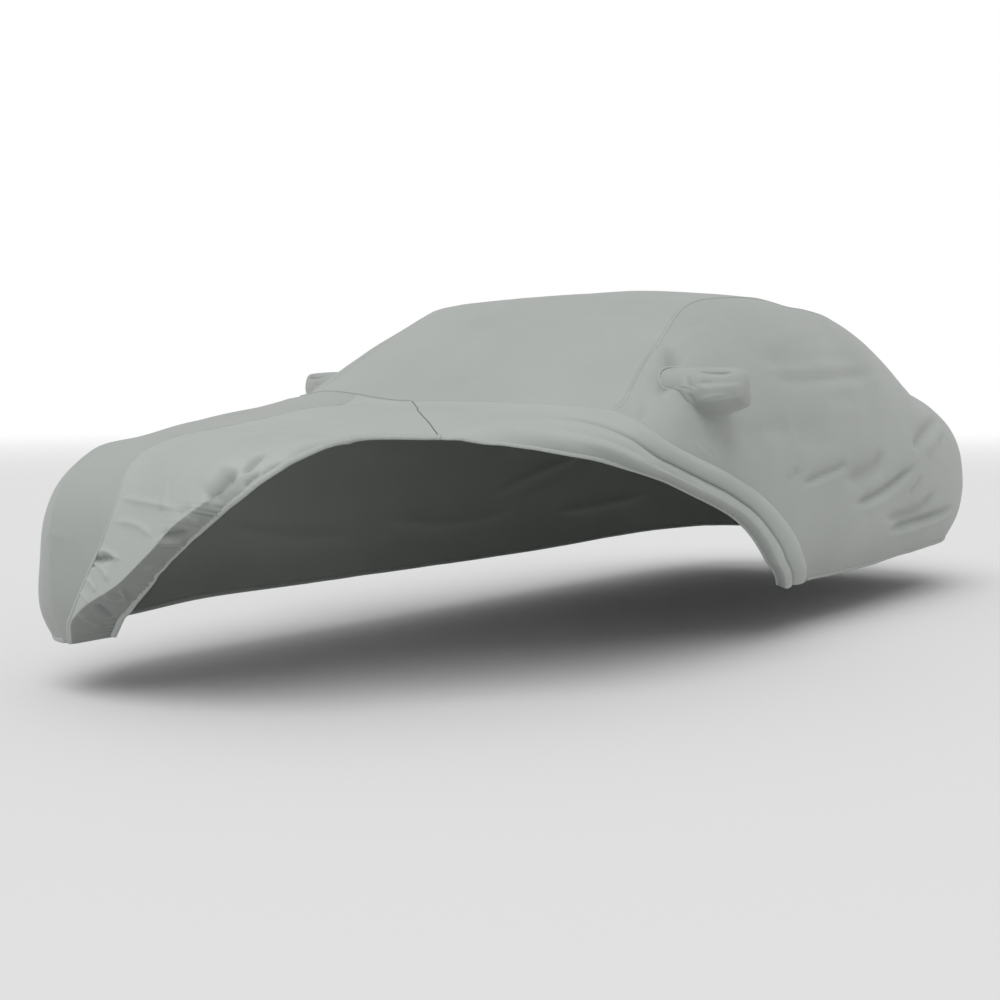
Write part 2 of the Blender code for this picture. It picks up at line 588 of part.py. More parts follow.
def make_pocket(name, panel, sign, shift):
    """A mirror's pocket, sewn into a hole that is cut for it in the side panel."""
    tree = BVHTree.FromObject(panel, bpy.context.evaluated_depsgraph_get())
    mouth = []
    for y, z in zip(*pocket_ring(*POCKET[0][2:])):
        start = Vector((sign * 2, y + shift - HOLD_Y, z - HOLD_Z))
        mouth.append(abs(tree.ray_cast(start, Vector((-sign, 0, 0)))[0].x) - POCKET_SEWN_IN)
    bm = bmesh.new()
    loops = []
    for row in POCKET:
        y, z = pocket_ring(*row[2:])
        out = np.array(mouth) + (POCKET_REACH - np.array(mouth)) * row[1]
        last = row is POCKET[-1]
        ring = bmesh.ops.create_circle(bm, cap_ends=last, segments=POCKET_SIDES, radius=1)["verts"]
        for i, vert in enumerate(ring):
            vert.co = (sign * out[i], y[i] + shift - HOLD_Y, z[i] - HOLD_Z)
        loops.append(list({edge for vert in ring for edge in vert.link_edges}))
    for near, far in zip(loops, loops[1:]):
        bmesh.ops.bridge_loops(bm, edges=near + far)
    bmesh.ops.recalc_face_normals(bm, faces=bm.faces)
    hole = bmesh.new()
    y, z = pocket_ring(*POCKET[0][2:], grown=POCKET_CLEAR)
    ring = bmesh.ops.create_circle(hole, cap_ends=True, segments=POCKET_SIDES, radius=1)
    for i, vert in enumerate(ring["verts"]):
        vert.co = (sign * 0.4, y[i] + shift - HOLD_Y, z[i] - HOLD_Z)
    outer = bmesh.ops.extrude_face_region(hole, geom=hole.faces[:])["geom"]
    reach = [item for item in outer if isinstance(item, bmesh.types.BMVert)]
    bmesh.ops.translate(hole, vec=(sign * 0.9, 0, 0), verts=reach)
    bmesh.ops.recalc_face_normals(hole, faces=hole.faces)
    mesh = bpy.data.meshes.new(name + " hole")
    hole.to_mesh(mesh)
    hole.free()
    cutter = bpy.data.objects.new(name + " hole", mesh)
    cutter.hide_render = True
    cutter.display_type = "WIRE"
    cutters.objects.link(cutter)
    cut = panel.modifiers.new("hole for the pocket", "BOOLEAN")
    cut.object = cutter
    cut.operation = "DIFFERENCE"
    return cloth_object(name, bm, (0.43, 0.46, 0.42))


make_hood_panel()
make_roof_panel()
left = make_side_panel_left()
right = make_side_panel_right()
make_fender_panel_left()
bpy.context.view_layer.update()
make_pocket("mirror_pocket_left", left, 1, 0.0)
make_pocket("mirror_pocket_right", right, -1, RIGHT_POCKET_BACK)
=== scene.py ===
"""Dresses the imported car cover: each panel as a thin sheet of cloth with its folds, the felled
seams between them, the elastic hem, and the two side pockets, on a plain pale floor."""

import math

import bmesh
import bpy
import numpy as np
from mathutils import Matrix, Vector
from mathutils.bvhtree import BVHTree


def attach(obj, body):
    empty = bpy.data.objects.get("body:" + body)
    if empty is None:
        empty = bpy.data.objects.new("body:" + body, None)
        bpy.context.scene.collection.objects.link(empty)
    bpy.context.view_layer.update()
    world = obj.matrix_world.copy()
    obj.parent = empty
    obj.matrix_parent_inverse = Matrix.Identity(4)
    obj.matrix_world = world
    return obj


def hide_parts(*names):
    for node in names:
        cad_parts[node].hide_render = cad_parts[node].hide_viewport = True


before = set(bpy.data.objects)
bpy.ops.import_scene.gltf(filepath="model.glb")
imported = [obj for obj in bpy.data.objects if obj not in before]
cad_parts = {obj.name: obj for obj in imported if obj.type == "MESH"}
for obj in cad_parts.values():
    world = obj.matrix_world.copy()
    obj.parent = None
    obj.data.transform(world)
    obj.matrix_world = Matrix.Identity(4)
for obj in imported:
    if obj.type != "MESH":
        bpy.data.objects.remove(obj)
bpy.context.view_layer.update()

# ------------------------------------------------------------------------------------------
# Roof cloth: one run of coated woven cloth from the cowl over the top and down to the tail
# hem, drawn tight, with a side cloth sewn along each of its two rails. The hem is turned up
# over elastic.

# The rows of TOP give the middle line and the edge of the cloth over the top, in metres: x is
# left, y back and z up from the ground. HOLD is where the frame has its origin.
HOLD = np.array([0.0, 2.10, 1.50])
NOSE_Y, TAIL_Y, CROWN = -0.885, 4.43, 2.3
TOP = np.array([
    # mid_y   mid_z   edge_x  edge_y  edge_z
    (-0.775, 0.822,  0.600, -0.660,  0.812),
    (-0.480, 0.908,  0.680, -0.390,  0.872),
    (-0.130, 0.957,  0.725, -0.055,  0.922),
    (0.240,  0.986,  0.740,  0.320,  0.953),
    (0.500,  1.006,  0.745,  0.625,  0.972),
    (0.800,  1.175,  0.700,  0.880,  1.100),
    (1.150,  1.345,  0.640,  1.180,  1.260),
    (1.480,  1.450,  0.590,  1.440,  1.385),
    (1.780,  1.490,  0.570,  1.720,  1.440),
    (2.150,  1.503,  0.565,  2.100,  1.462),
    (2.560,  1.480,  0.565,  2.520,  1.440),
    (2.930,  1.440,  0.575,  2.920,  1.410),
    (3.300,  1.335,  0.590,  3.320,  1.285),
    (3.660,  1.190,  0.605,  3.680,  1.105),
    (3.980,  1.115,  0.605,  3.960,  1.035),
    (4.230,  1.045,  0.525,  4.150,  0.985),
])

# Upright lines of the side, from the nose seam to the tail seam: the row of TOP that each
# starts at, its widest point, and how far inside that and how high its shoulder, sill and hem
# lie.
SIDE = np.array([
    # edge   flank_x flank_y flank_z sh_in  sh_z   sill_in sill_z hem_in hem_z
    (0.00,  0.570, -0.838, 0.480, 0.035, 0.690,  0.008, 0.290, 0.045, 0.185),
    (0.30,  0.753, -0.736, 0.450, 0.063, 0.710,  0.000, 0.270, 0.045, 0.180),
    (0.65,  0.885, -0.510, 0.480, 0.060, 0.735,  0.003, 0.290, 0.060, 0.188),
    (1.20,  0.940, -0.220, 0.520, 0.050, 0.770,  0.008, 0.320, 0.085, 0.200),
    (2.10,  0.955,  0.080, 0.560, 0.030, 0.810,  0.010, 0.350, 0.085, 0.215),
    (3.10,  0.955,  0.380, 0.570, 0.025, 0.850,  0.012, 0.350, 0.085, 0.220),
    (4.00,  0.955,  0.660, 0.590, 0.030, 0.880,  0.015, 0.350, 0.090, 0.220),
    (5.00,  0.955,  0.930, 0.600, 0.035, 0.900,  0.018, 0.350, 0.090, 0.220),
    (6.00,  0.955,  1.200, 0.610, 0.040, 0.915,  0.020, 0.350, 0.090, 0.220),
    (7.00,  0.955,  1.470, 0.620, 0.045, 0.925,  0.020, 0.350, 0.090, 0.220),
    (8.00,  0.955,  1.780, 0.620, 0.045, 0.935,  0.020, 0.350, 0.090, 0.220),
    (9.00,  0.955,  2.150, 0.630, 0.045, 0.945,  0.020, 0.350, 0.090, 0.220),
    (10.00, 0.955,  2.560, 0.640, 0.050, 0.950,  0.020, 0.350, 0.090, 0.225),
    (11.00, 0.950,  2.930, 0.640, 0.055, 0.945,  0.020, 0.370, 0.090, 0.232),
    (12.00, 0.945,  3.300, 0.630, 0.060, 0.925,  0.020, 0.380, 0.095, 0.242),
    (13.00, 0.934,  3.660, 0.620, 0.075, 0.895,  0.022, 0.385, 0.095, 0.248),
    (14.00, 0.893,  4.003, 0.610, 0.082, 0.875,  0.025, 0.385, 0.095, 0.250),
    (14.55, 0.776,  4.272, 0.610, 0.078, 0.865,  0.025, 0.385, 0.090, 0.252),
    (15.00, 0.560,  4.395, 0.610, 0.070, 0.860,  0.025, 0.385, 0.085, 0.252),
])
RAIL, SHOULDER, FLANK, SILL, HEM = range(5)
COWL_ROW, TAIL_ROW = 4.0, 15.0
COWL_STATION, TAIL_STATION = 6.0, 18.0
SHORT_SEAM_TOP = -0.11     # how far across the cloth the short seam ends at the cowl

# On the right the cloth is pulled up at the foot of the front slope: how far, by distance back.
SWELL = ((0.00, 0.35, 0.55, 0.75, 0.95, 1.15, 1.35, 1.60, 2.00),
         (0.0, 0.032, 0.058, 0.054, 0.052, 0.061, 0.057, 0.024, 0.0))
SWELL_WAY = np.array([-0.25, -0.25, 0.93])


def smooth(x):
    x = np.clip(x, 0.0, 1.0)
    return x * x * (3 - 2 * x)


def spline_weights(knots, places):
    """How much each point of a natural cubic spline counts at each place."""
    knots, places = np.asarray(knots, float), np.asarray(places, float).ravel()
    count, step = len(knots), np.diff(knots)
    left, right = np.eye(count), np.zeros((count, count))
    for i in range(1, count - 1):
        left[i, i - 1:i + 2] = step[i - 1], 2 * (step[i - 1] + step[i]), step[i]
        right[i, i - 1:i + 2] = 6 / step[i - 1], -6 / step[i - 1] - 6 / step[i], 6 / step[i]
    bend = np.linalg.solve(left, right)
    span = np.clip(np.searchsorted(knots, places, side="right") - 1, 0, count - 2)
    step = (knots[span + 1] - knots[span])[:, None]
    before = (places - knots[span])[:, None]
    after, eye = step - before, np.eye(count)
    return (bend[span] * (after ** 3 / step - after * step) / 6
            + bend[span + 1] * (before ** 3 / step - before * step) / 6
            + eye[span] * after / step + eye[span + 1] * before / step)


def spline(points, places, knots=None):
    points = np.asarray(points, float)
    return spline_weights(np.arange(len(points)) if knots is None else knots, places) @ points


def many_splines(points, knots, places):
    """One place on each of many natural cubic splines of the same number of points."""
    n, count = knots.shape
    step = np.diff(knots, axis=1)
    left, right = np.tile(np.eye(count), (n, 1, 1)), np.zeros((n, count, points.shape[2]))
    slope = np.diff(points, axis=1) / step[..., None]
    for i in range(1, count - 1):
        left[:, i, i - 1], left[:, i, i + 1] = step[:, i - 1], step[:, i]
        left[:, i, i] = 2 * (step[:, i - 1] + step[:, i])
        right[:, i] = 6 * (slope[:, i] - slope[:, i - 1])
    bend = np.linalg.solve(left, right)
    span = np.clip((knots <= places[:, None]).sum(1) - 1, 0, count - 2)
    pick = np.arange(n)
    step = (knots[pick, span + 1] - knots[pick, span])[:, None]
    before = places[:, None] - knots[pick, span][:, None]
    after = step - before
    return (bend[pick, span] * (after ** 3 / step - after * step) / 6
            + bend[pick, span + 1] * (before ** 3 / step - before * step) / 6
            + points[pick, span] * after / step + points[pick, span + 1] * before / step)


def side_net():
    """The points of the side's upright lines, (line, place down the line, xyz)."""
    ends = np.vstack([[0, NOSE_Y], SIDE[:, 1:3], [0, TAIL_Y]])
    along = np.gradient(ends, axis=0)[1:-1]
    out = np.stack([along[:, 1], -along[:, 0]], 1)
    out /= np.linalg.norm(out, axis=1)[:, None]
    made = np.zeros((len(SIDE), 5, 3))
    made[:, RAIL] = spline(TOP[:, 2:], SIDE[:, 0])
    made[:, FLANK] = SIDE[:, 1:4]
    for line, column in ((SHOULDER, 4), (SILL, 6), (HEM, 8)):
        made[:, line, :2] = SIDE[:, 1:3] - out * SIDE[:, column:column + 1]
        made[:, line, 2] = SIDE[:, column + 1]
    return made


net = side_net()


def top_rows(across):
    """The control rows of the middle cloth, from the nose hem over the top to the tail hem."""
    across = np.asarray(across, float)[:, None]
    size = np.abs(across)
    middle = np.stack([TOP[:, 0] + (TOP[:, 3] - TOP[:, 0]) * size ** 2,
                       TOP[:, 1] + (TOP[:, 4] - TOP[:, 1]) * size ** CROWN], -1)
    rows = np.concatenate([across[..., None] * TOP[None, :, 2:3], middle], -1)
    ends = []
    for station, reach, sign in ((0, NOSE_Y, 1), (-1, TAIL_Y, -1)):
        corner = net[station, SHOULDER:]
        depth = reach + sign * np.array([SIDE[station, 4], 0, SIDE[station, 6], SIDE[station, 8]])
        ends.append(np.stack([across * corner[:, 0], depth + (corner[:, 1] - depth) * size ** 2,
                              np.broadcast_to(corner[:, 2], (len(across), 4))], -1))
    return np.concatenate([ends[0][:, ::-1], rows, ends[1]], 1)


middle_line = top_rows([0.0])[0]
middle_steps = np.linalg.norm(np.diff(middle_line, axis=0), axis=1) ** 0.8
MIDDLE_KNOTS = np.concatenate([[0], np.cumsum(middle_steps)])


def swell_right(points):
    share = smooth((-points[..., 0] - 0.10) / 0.50) * smooth((points[..., 2] - 0.86) / 0.12)
    return points + (np.interp(points[..., 1], *SWELL) * share)[..., None] * SWELL_WAY


def middle_cloth(row, across):
    """Points of the middle cloth: row -4 is the nose hem, 0 the hood lip, across runs -1 to 1."""
    row, across = np.asarray(row, float).ravel(), np.asarray(across, float).ravel()
    weights = spline_weights(MIDDLE_KNOTS, np.interp(row, range(-4, 20), MIDDLE_KNOTS))
    return swell_right(np.einsum("nr,nrk->nk", weights, top_rows(across)))


def grid_of(surface, first, second):
    first, second = np.broadcast_arrays(first, second)
    return surface(first, second).reshape(*first.shape, 3)


def normals_of(points):
    """The outward normal at each point of a grid that runs back and then left or down."""
    normal = np.cross(np.gradient(points, axis=1), np.gradient(points, axis=0))
    return normal / np.maximum(np.linalg.norm(normal, axis=2), 1e-12)[..., None]


def folded(points, folds, facing):
    """Raises or sinks a grid along a table of folds. Each runs through three places, given by
    the two distances that the facing direction leaves, with its height, half width and how
    crisp it is. Only cloth that faces that way takes part."""
    flat, normal = points.reshape(-1, 3), normals_of(points).reshape(-1, 3)
    facing = np.array(facing)
    plane = np.flatnonzero(facing == 0)
    open_side = np.flatnonzero(normal @ facing > 0.02)
    height = np.zeros(len(flat))
    for fold in folds:
        high, wide, crisp = fold[7:10]
        marks = np.reshape(fold[1:7], (3, 1, 2))
        nearest = ((flat[open_side][:, plane] - marks) ** 2).sum(2).argmin(1)
        path = spline(flat[open_side][nearest], np.linspace(0, 2, 33))
        box = (flat > path.min(0) - 3 * wide) & (flat < path.max(0) + 3 * wide)
        near = np.flatnonzero(box.all(1) & (normal @ facing > -0.3))
        run = np.diff(path, axis=0)
        gap = flat[near][:, None] - path[None, :-1]
        share = np.clip(np.einsum("nsk,sk->ns", gap, run) / (run ** 2).sum(1), 0, 1)
        away = np.linalg.norm(gap - share[..., None] * run, axis=2)
        pick = away.argmin(1)
        rows = np.arange(len(near))
        along = (pick + share[rows, pick]) / len(run)
        ends = smooth(np.minimum(along, 1 - along) / 0.28 + 0.03)
        width = wide * (0.4 + 0.6 * ends)
        height[near] += high * ends * np.exp(-(away[rows, pick] / width) ** crisp)
    return points + (normal * height[:, None]).reshape(points.shape)


def waves(points, way, length, seed, count=7, spread=0.35):
    """Uneven ripples that run across the given way: about -1 to 1 at each point."""
    rng = np.random.default_rng(seed)
    way = np.asarray(way, float) / np.linalg.norm(way)
    total = np.zeros(points.shape[:-1])
    for _ in range(count):
        turned = way + rng.normal(0, spread, 3)
        turned /= np.linalg.norm(turned)
        total += np.sin(points @ turned * 2 * np.pi / (length * rng.uniform(0.65, 1.6))
                        + rng.uniform(0, 2 * np.pi))
    return total / math.sqrt(count)


RIPPLES = (
    # way              length  height  seed
    ((1.0, 0.3, 0.2),  0.62,   0.0020, 11),
    ((0.1, 1.0, 0.4),  0.55,   0.0020, 12),
    ((0.5, 0.5, 1.0),  0.16,   0.0005, 13),
    ((0.0, 1.0, -0.6), 0.21,   0.0005, 14),
)


def undulated(points):
    """The slight unevenness of stretched cloth. It depends on place alone, so that panels
    still meet at their seams."""
    height = sum(high * waves(points, way, length, seed, spread=0.6)
                 for way, length, high, seed in RIPPLES)
    return points + normals_of(points) * height[..., None]


def fold_painted_shade(before, after):
    """Painted shade in creases: the share by which cloth is darkened for how deep its folds have sunk
    it.
    """
    sunk = ((before - after) * normals_of(before)).sum(2)
    return FOLD_PAINTED_SHADE * np.clip((sunk - FOLD_SHALLOW) / (FOLD_DEEP - FOLD_SHALLOW), 0, 1)


def lengths_of(line):
    return np.concatenate([[0], np.cumsum(np.linalg.norm(np.diff(line, axis=0), axis=1))])


def puckers(place, pitch, seed):
    """Uneven pinches along an elastic hem: rounded between, sharp where they meet."""
    rng = np.random.default_rng(seed)
    drift = sum(rng.uniform(0.3, 0.8) * np.sin(place / pitch * rng.uniform(0.3, 1.1)
                                               + rng.uniform(0, 6)) for _ in range(4))
    strength = 0.62 + 0.38 * np.sin(place / pitch * 0.9 + rng.uniform(0, 6)) * np.sin(
        place / pitch * 0.23 + rng.uniform(0, 6))
    return (np.abs(np.sin(np.pi * (place / pitch + drift))) ** 0.75 - 0.6) * strength


def gathered(points, depth, reach, pitch, seed):
    """Draws a grid up along its last column, the hem: its puckers fade away from there."""
    hem = points[:, -1]
    place = lengths_of(hem)[:, None]
    away = np.linalg.norm(points - hem[:, None], axis=2)
    far = reach * (0.75 + 0.45 * np.sin(place / pitch * 0.37 + seed))
    height = depth * puckers(place, pitch, seed) * np.exp(-(away / far) ** 1.4)
    return points + normals_of(points) * height[..., None]


CLOTH_THICK = 0.0012
# Painted shade in folds: the most that sunk cloth is darkened by, and the depths at which that starts
# and is full
FOLD_PAINTED_SHADE, FOLD_SHALLOW, FOLD_DEEP = 0.22, 0.004, 0.026
CLOTH_PALE, CLOTH_DEEP = (0.425, 0.452, 0.430), (0.300, 0.322, 0.304)
SEWN_PALE = (0.440, 0.468, 0.446)
LINING_PALE, LINING_DEEP = (0.400, 0.420, 0.402), (0.300, 0.318, 0.304)
WEAVE_PITCH = 0.0011       # from one raised knot of the weave to the next
STITCH_LENGTH, STITCH_THICK = 0.0036, 0.0005
STITCH_ROWS = (-0.0145, -0.0034, 0.0034)
STITCH_HIGH, STITCH_FROM = 1.6, -0.4    # a stitch's height in knots, and the sine it starts at
WEAVE_SHARE, CLOUD_SHARE = 0.62, 0.38
# Painted shadow: the colours of the thin dark strip along the right part of the cowl seam
COWL_SHADOW_PALE, COWL_SHADOW_DEEP = (0.24, 0.26, 0.245), (0.19, 0.205, 0.195)
# Painted shadow: the colours of the thin near-black strip along the short seam
SEAM_SHADOW_PALE, SEAM_SHADOW_DEEP = (0.075, 0.080, 0.076), (0.060, 0.064, 0.061)


def link(tree, a, out, b, into):
    tree.links.new(a.outputs[out], b.inputs[into])


def maths(tree, operation, *values):
    """A Math node fed by sockets or plain numbers."""
    node = tree.nodes.new("ShaderNodeMath")
    node.operation = operation
    for i, value in enumerate(values):
        if isinstance(value, (int, float)):
            node.inputs[i].default_value = value
        else:
            tree.links.new(value, node.inputs[i])
    return node.outputs[0]


def cover_cloth(name, pale, deep, stitched=False):
    """Coated woven cloth: staggered round knots, faint clouding and a soft sheen."""
    material = bpy.data.materials.new(name)
    material.use_nodes = True
    tree = material.node_tree
    shader = tree.nodes["Principled BSDF"]
    shader.inputs["Roughness"].default_value = 0.55
    shader.inputs["Specular IOR Level"].default_value = 0.35
    shader.inputs["Sheen Weight"].default_value = 0.20
    shader.inputs["Sheen Roughness"].default_value = 0.55
    place = tree.nodes.new("ShaderNodeUVMap")
    place.uv_map = "cut"
    split = tree.nodes.new("ShaderNodeSeparateXYZ")
    link(tree, place, "UV", split, "Vector")
    u, v = split.outputs["X"], split.outputs["Y"]
    turn = 2 * math.pi / WEAVE_PITCH * 2 / math.sqrt(3)
    knots = None
    for angle in (90, 210, 330):
        c, s = math.cos(math.radians(angle)) * turn, math.sin(math.radians(angle)) * turn
        wave = maths(tree, "COSINE", maths(tree, "ADD", maths(tree, "MULTIPLY", u, c),
                                           maths(tree, "MULTIPLY", v, s)))
        knots = wave if knots is None else maths(tree, "ADD", knots, wave)
    knots = maths(tree, "MULTIPLY_ADD", knots, 2 / 9, 1 / 3)
    if stitched:
        dash = maths(tree, "GREATER_THAN", maths(tree, "SINE", maths(
            tree, "MULTIPLY", v, 2 * math.pi / STITCH_LENGTH)), STITCH_FROM)
        for row in STITCH_ROWS:
            on_row = maths(tree, "LESS_THAN", maths(tree, "ABSOLUTE", maths(
                tree, "SUBTRACT", u, row)), STITCH_THICK / 2)
            stitch = maths(tree, "MULTIPLY", on_row, dash)
            knots = maths(tree, "MAXIMUM", knots, maths(tree, "MULTIPLY", stitch, STITCH_HIGH))
    where = tree.nodes.new("ShaderNodeTexCoord")
    cloud = tree.nodes.new("ShaderNodeTexNoise")
    cloud.inputs["Scale"].default_value = 2.3
    cloud.inputs["Detail"].default_value = 5
    cloud.inputs["Roughness"].default_value = 0.6
    link(tree, where, "Object", cloud, "Vector")
    shade = maths(tree, "ADD", maths(tree, "MULTIPLY", knots, WEAVE_SHARE),
                  maths(tree, "MULTIPLY", cloud.outputs["Fac"], CLOUD_SHARE))
    ramp = tree.nodes.new("ShaderNodeValToRGB")
    ramp.color_ramp.elements[0].position, ramp.color_ramp.elements[0].color = 0.12, (*deep, 1)
    ramp.color_ramp.elements[1].position, ramp.color_ramp.elements[1].color = 0.72, (*pale, 1)
    tree.links.new(shade, ramp.inputs["Fac"])
    # Painted shade: the colour is darkened by the share each point carries, in creases, on
    # turned-under cloth and low at the right front corner
    painted_shade = tree.nodes.new("ShaderNodeAttribute")
    painted_shade.attribute_name = "painted_shade"
    cloth_colour_with_painted_shade = tree.nodes.new("ShaderNodeVectorMath")
    cloth_colour_with_painted_shade.operation = "SCALE"
    link(tree, ramp, "Color", cloth_colour_with_painted_shade, "Vector")
    tree.links.new(maths(tree, "SUBTRACT", 1.0, painted_shade.outputs["Fac"]), cloth_colour_with_painted_shade.inputs["Scale"])
    link(tree, cloth_colour_with_painted_shade, "Vector", shader, "Base Color")
    bump = tree.nodes.new("ShaderNodeBump")
    bump.inputs["Strength"].default_value = 0.35
    bump.inputs["Distance"].default_value = 0.00025
    tree.links.new(knots, bump.inputs["Height"])
    link(tree, bump, "Normal", shader, "Normal")
    return material


def panel_cloth_tone_and_light(panel, shade):
    """The cover's cloth as one panel shows it, its colour scaled by the given factor: partly each
    panel's own tone, as each was cut from its own length of the roll, and partly painted light, the
    hood and fender painted lighter than the sides as if more of the lamp fell on them.
    """
    pale, deep = np.multiply(CLOTH_PALE, shade), np.multiply(CLOTH_DEEP, shade)
    return cover_cloth(panel + " cloth", tuple(pale), tuple(deep))


inside_cloth = cover_cloth("cover cloth inside", LINING_PALE, LINING_DEEP)
sewn_cloth = cover_cloth("sewn cloth", SEWN_PALE, CLOTH_DEEP, stitched=True)
# Painted shadows: dark strips that stand in for the shade along the cowl seam and the short seam
painted_cowl_shadow = cover_cloth("painted shadow at the cowl seam", COWL_SHADOW_PALE, COWL_SHADOW_DEEP)
painted_seam_shadow = cover_cloth("painted shadow at the short seam", SEAM_SHADOW_PALE, SEAM_SHADOW_DEEP)


def finished(name, mesh, materials):
    """The object of a cloth mesh, riding on the body, in the cover's cloth."""
    for material in materials:
        mesh.materials.append(material)
    mesh.shade_smooth()
    piece = bpy.data.objects.new(name, mesh)
    bpy.context.scene.collection.objects.link(piece)
    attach(piece, "root")
    return piece


def cut_mesh(name, places, corners, cut, merge=False, painted_shade=None):
    """A mesh with the flat cut's own measures as its UV map, its double points merged."""
    mesh = bpy.data.meshes.new(name)
    mesh.from_pydata((places - HOLD).tolist(), [], corners.tolist())
    mesh.uv_layers.new(name="cut").data.foreach_set("uv", cut[corners.ravel()].ravel())
    # The painted shade, a share of darkening for each point, for the material to read
    if painted_shade is not None:
        mesh.attributes.new("painted_shade", "FLOAT", "POINT").data.foreach_set("value", painted_shade.ravel())
    if merge:
        bm = bmesh.new()
        bm.from_mesh(mesh)
        bmesh.ops.remove_doubles(bm, verts=bm.verts, dist=0.0002)
        bm.to_mesh(mesh)
        bm.free()
    return mesh


def sheet_piece(name, grids, cloth, on_right=False, merge=False, painted_shade=None):
    """One cut panel: its grids joined into one sheet and made thick, with its lining inside.
    Each point's given share darkens its colour: painted shade where its cloth is turned under, deep
    in a fold and low at the front corner."""
    places, corners, cut, count = [], [], [], 0
    for points in grids:
        rows, columns = points.shape[:2]
        middle = columns // 2
        number = count + np.arange(rows * columns).reshape(rows, columns)
        count += rows * columns
        quads = np.stack([number[:-1, :-1], number[:-1, 1:], number[1:, 1:], number[1:, :-1]], -1)
        corners.append(quads.reshape(-1, 4)[:, ::-1 if on_right else 1])
        across = np.linalg.norm(np.diff(points, axis=1), axis=2)
        across = np.concatenate([np.zeros((rows, 1)), np.cumsum(across, 1)], 1)
        down = np.broadcast_to(lengths_of(points[:, middle])[:, None], across.shape)
        cut.append(np.stack([across - across[:, middle:middle + 1], down], -1).reshape(-1, 2))
        places.append(points.reshape(-1, 3))
    mesh = cut_mesh(name, *map(np.concatenate, (places, corners, cut)), merge, painted_shade)
    piece = finished(name, mesh, (cloth, inside_cloth))
    wall = piece.modifiers.new("cloth thickness", "SOLIDIFY")
    wall.thickness = CLOTH_THICK
    wall.offset = -1
    wall.material_offset = 1
    wall.use_rim = True
    return piece


SEAM_SECTION = np.array([
    # across  out      pucker
    (-0.0056, -0.0016, 0.0),
    (-0.0050, 0.0007,  0.0),
    (-0.0024, 0.0017,  0.2),
    (0.0000,  0.0020,  0.3),
    (0.0024,  0.0017,  0.2),
    (0.0050,  0.0007,  0.0),
    (0.0056,  -0.0016, 0.0),
])
SEAM_STEP, SEAM_PITCH, SEAM_PUCKER = 0.0065, 0.031, 0.0012
HEM_PITCH, HEM_PUCKER = 0.019, 0.0034
EVEN = 3                   # grid points on each side over which a hem's line is evened out
# Painted shadow lines along seams: their seed, how far the cowl's is lifted off the cloth, and their
# section
SHADOW_LINE_SEED, SHADOW_LINE_LIFT = 40, 0.0019
SHADOW_LINE_SECTION = np.array([
    # across  out      pucker
    (-0.0022, -0.0014, 0.0),
    (-0.0018, 0.0008,  0.0),
    (0.0000,  0.0013,  0.0),
    (0.0018,  0.0008,  0.0),
    (0.0022,  -0.0014, 0.0),
])
HEM_SECTION = np.array([
    # across  out      pucker
    (-0.0180, 0.0006,  0.2),
    (-0.0150, 0.0026,  0.6),
    (-0.0095, 0.0046,  1.0),
    (-0.0035, 0.0044,  1.0),
    (0.0012,  0.0022,  0.8),
    (0.0020,  -0.0010, 0.5),
    (-0.0010, -0.0042, 0.3),
    (-0.0080, -0.0056, 0.0),
    (-0.0170, -0.0026, 0.0),
])


def unit(vectors):
    return vectors / np.maximum(np.linalg.norm(vectors, axis=-1, keepdims=True), 1e-12)


def strip_piece(name, line, out, section, step, pitch, depth, seed, off=None, cloth=None):
    """A sewn strip along a line, closed all round: a felled seam, or the hem's casing, which
    goes off the cloth's edge. Its puckers lift it unevenly."""
    place = lengths_of(line)
    fine = np.linspace(0, place[-1], max(3, round(place[-1] / step)))
    given = np.hstack([line, out, np.zeros_like(line) if off is None else off])
    line, out, off_way = np.split(np.stack([np.interp(fine, place, c) for c in given.T], 1), 3, 1)
    along = unit(np.gradient(line, axis=0))
    out = unit(out - along * (out * along).sum(1, keepdims=True))
    across = np.cross(along, out)
    if off is not None:
        across = across * np.sign((across * off_way).sum(1, keepdims=True))
    lift = section[:, 1] + section[:, 2] * depth * puckers(fine, pitch, seed)[:, None]
    places = (line[:, None] + across[:, None] * section[:, :1] + out[:, None] * lift[..., None])
    rows, columns = places.shape[:2]
    number = np.arange(rows * columns).reshape(rows, columns)
    ring = np.concatenate([number, number[:, :1]], 1)
    quads = np.stack([ring[:-1, :-1], ring[:-1, 1:], ring[1:, 1:], ring[1:, :-1]], -1).reshape(-1, 4)
    cut = np.stack([np.broadcast_to(section[:, 0], lift.shape),
                    np.broadcast_to(fine[:, None], lift.shape)], -1).reshape(-1, 2)
    mesh = cut_mesh(name, places.reshape(-1, 3), quads, cut)
    bm = bmesh.new()
    bm.from_mesh(mesh)
    bm.verts.ensure_lookup_table()
    for end in (number[0], number[-1]):
        bm.faces.new([bm.verts[i] for i in end])
    bmesh.ops.recalc_face_normals(bm, faces=bm.faces)
    bm.to_mesh(mesh)
    bm.free()
    return finished(name, mesh, (cloth or sewn_cloth,))


def painted_shadow_line(name, line, out, cloth):
    """A plain seam that shows only as a thin dark line: a strip painted dark, a painted shadow where
    the cloth dips to the seam.
    """
    return strip_piece(name, line, out, SHADOW_LINE_SECTION, SEAM_STEP, SEAM_PITCH, 0.0, SHADOW_LINE_SEED,
                       cloth=cloth)


def seam_piece(name, line, out, seed):
    return strip_piece(name, line, out, SEAM_SECTION, SEAM_STEP, SEAM_PITCH, SEAM_PUCKER, seed)


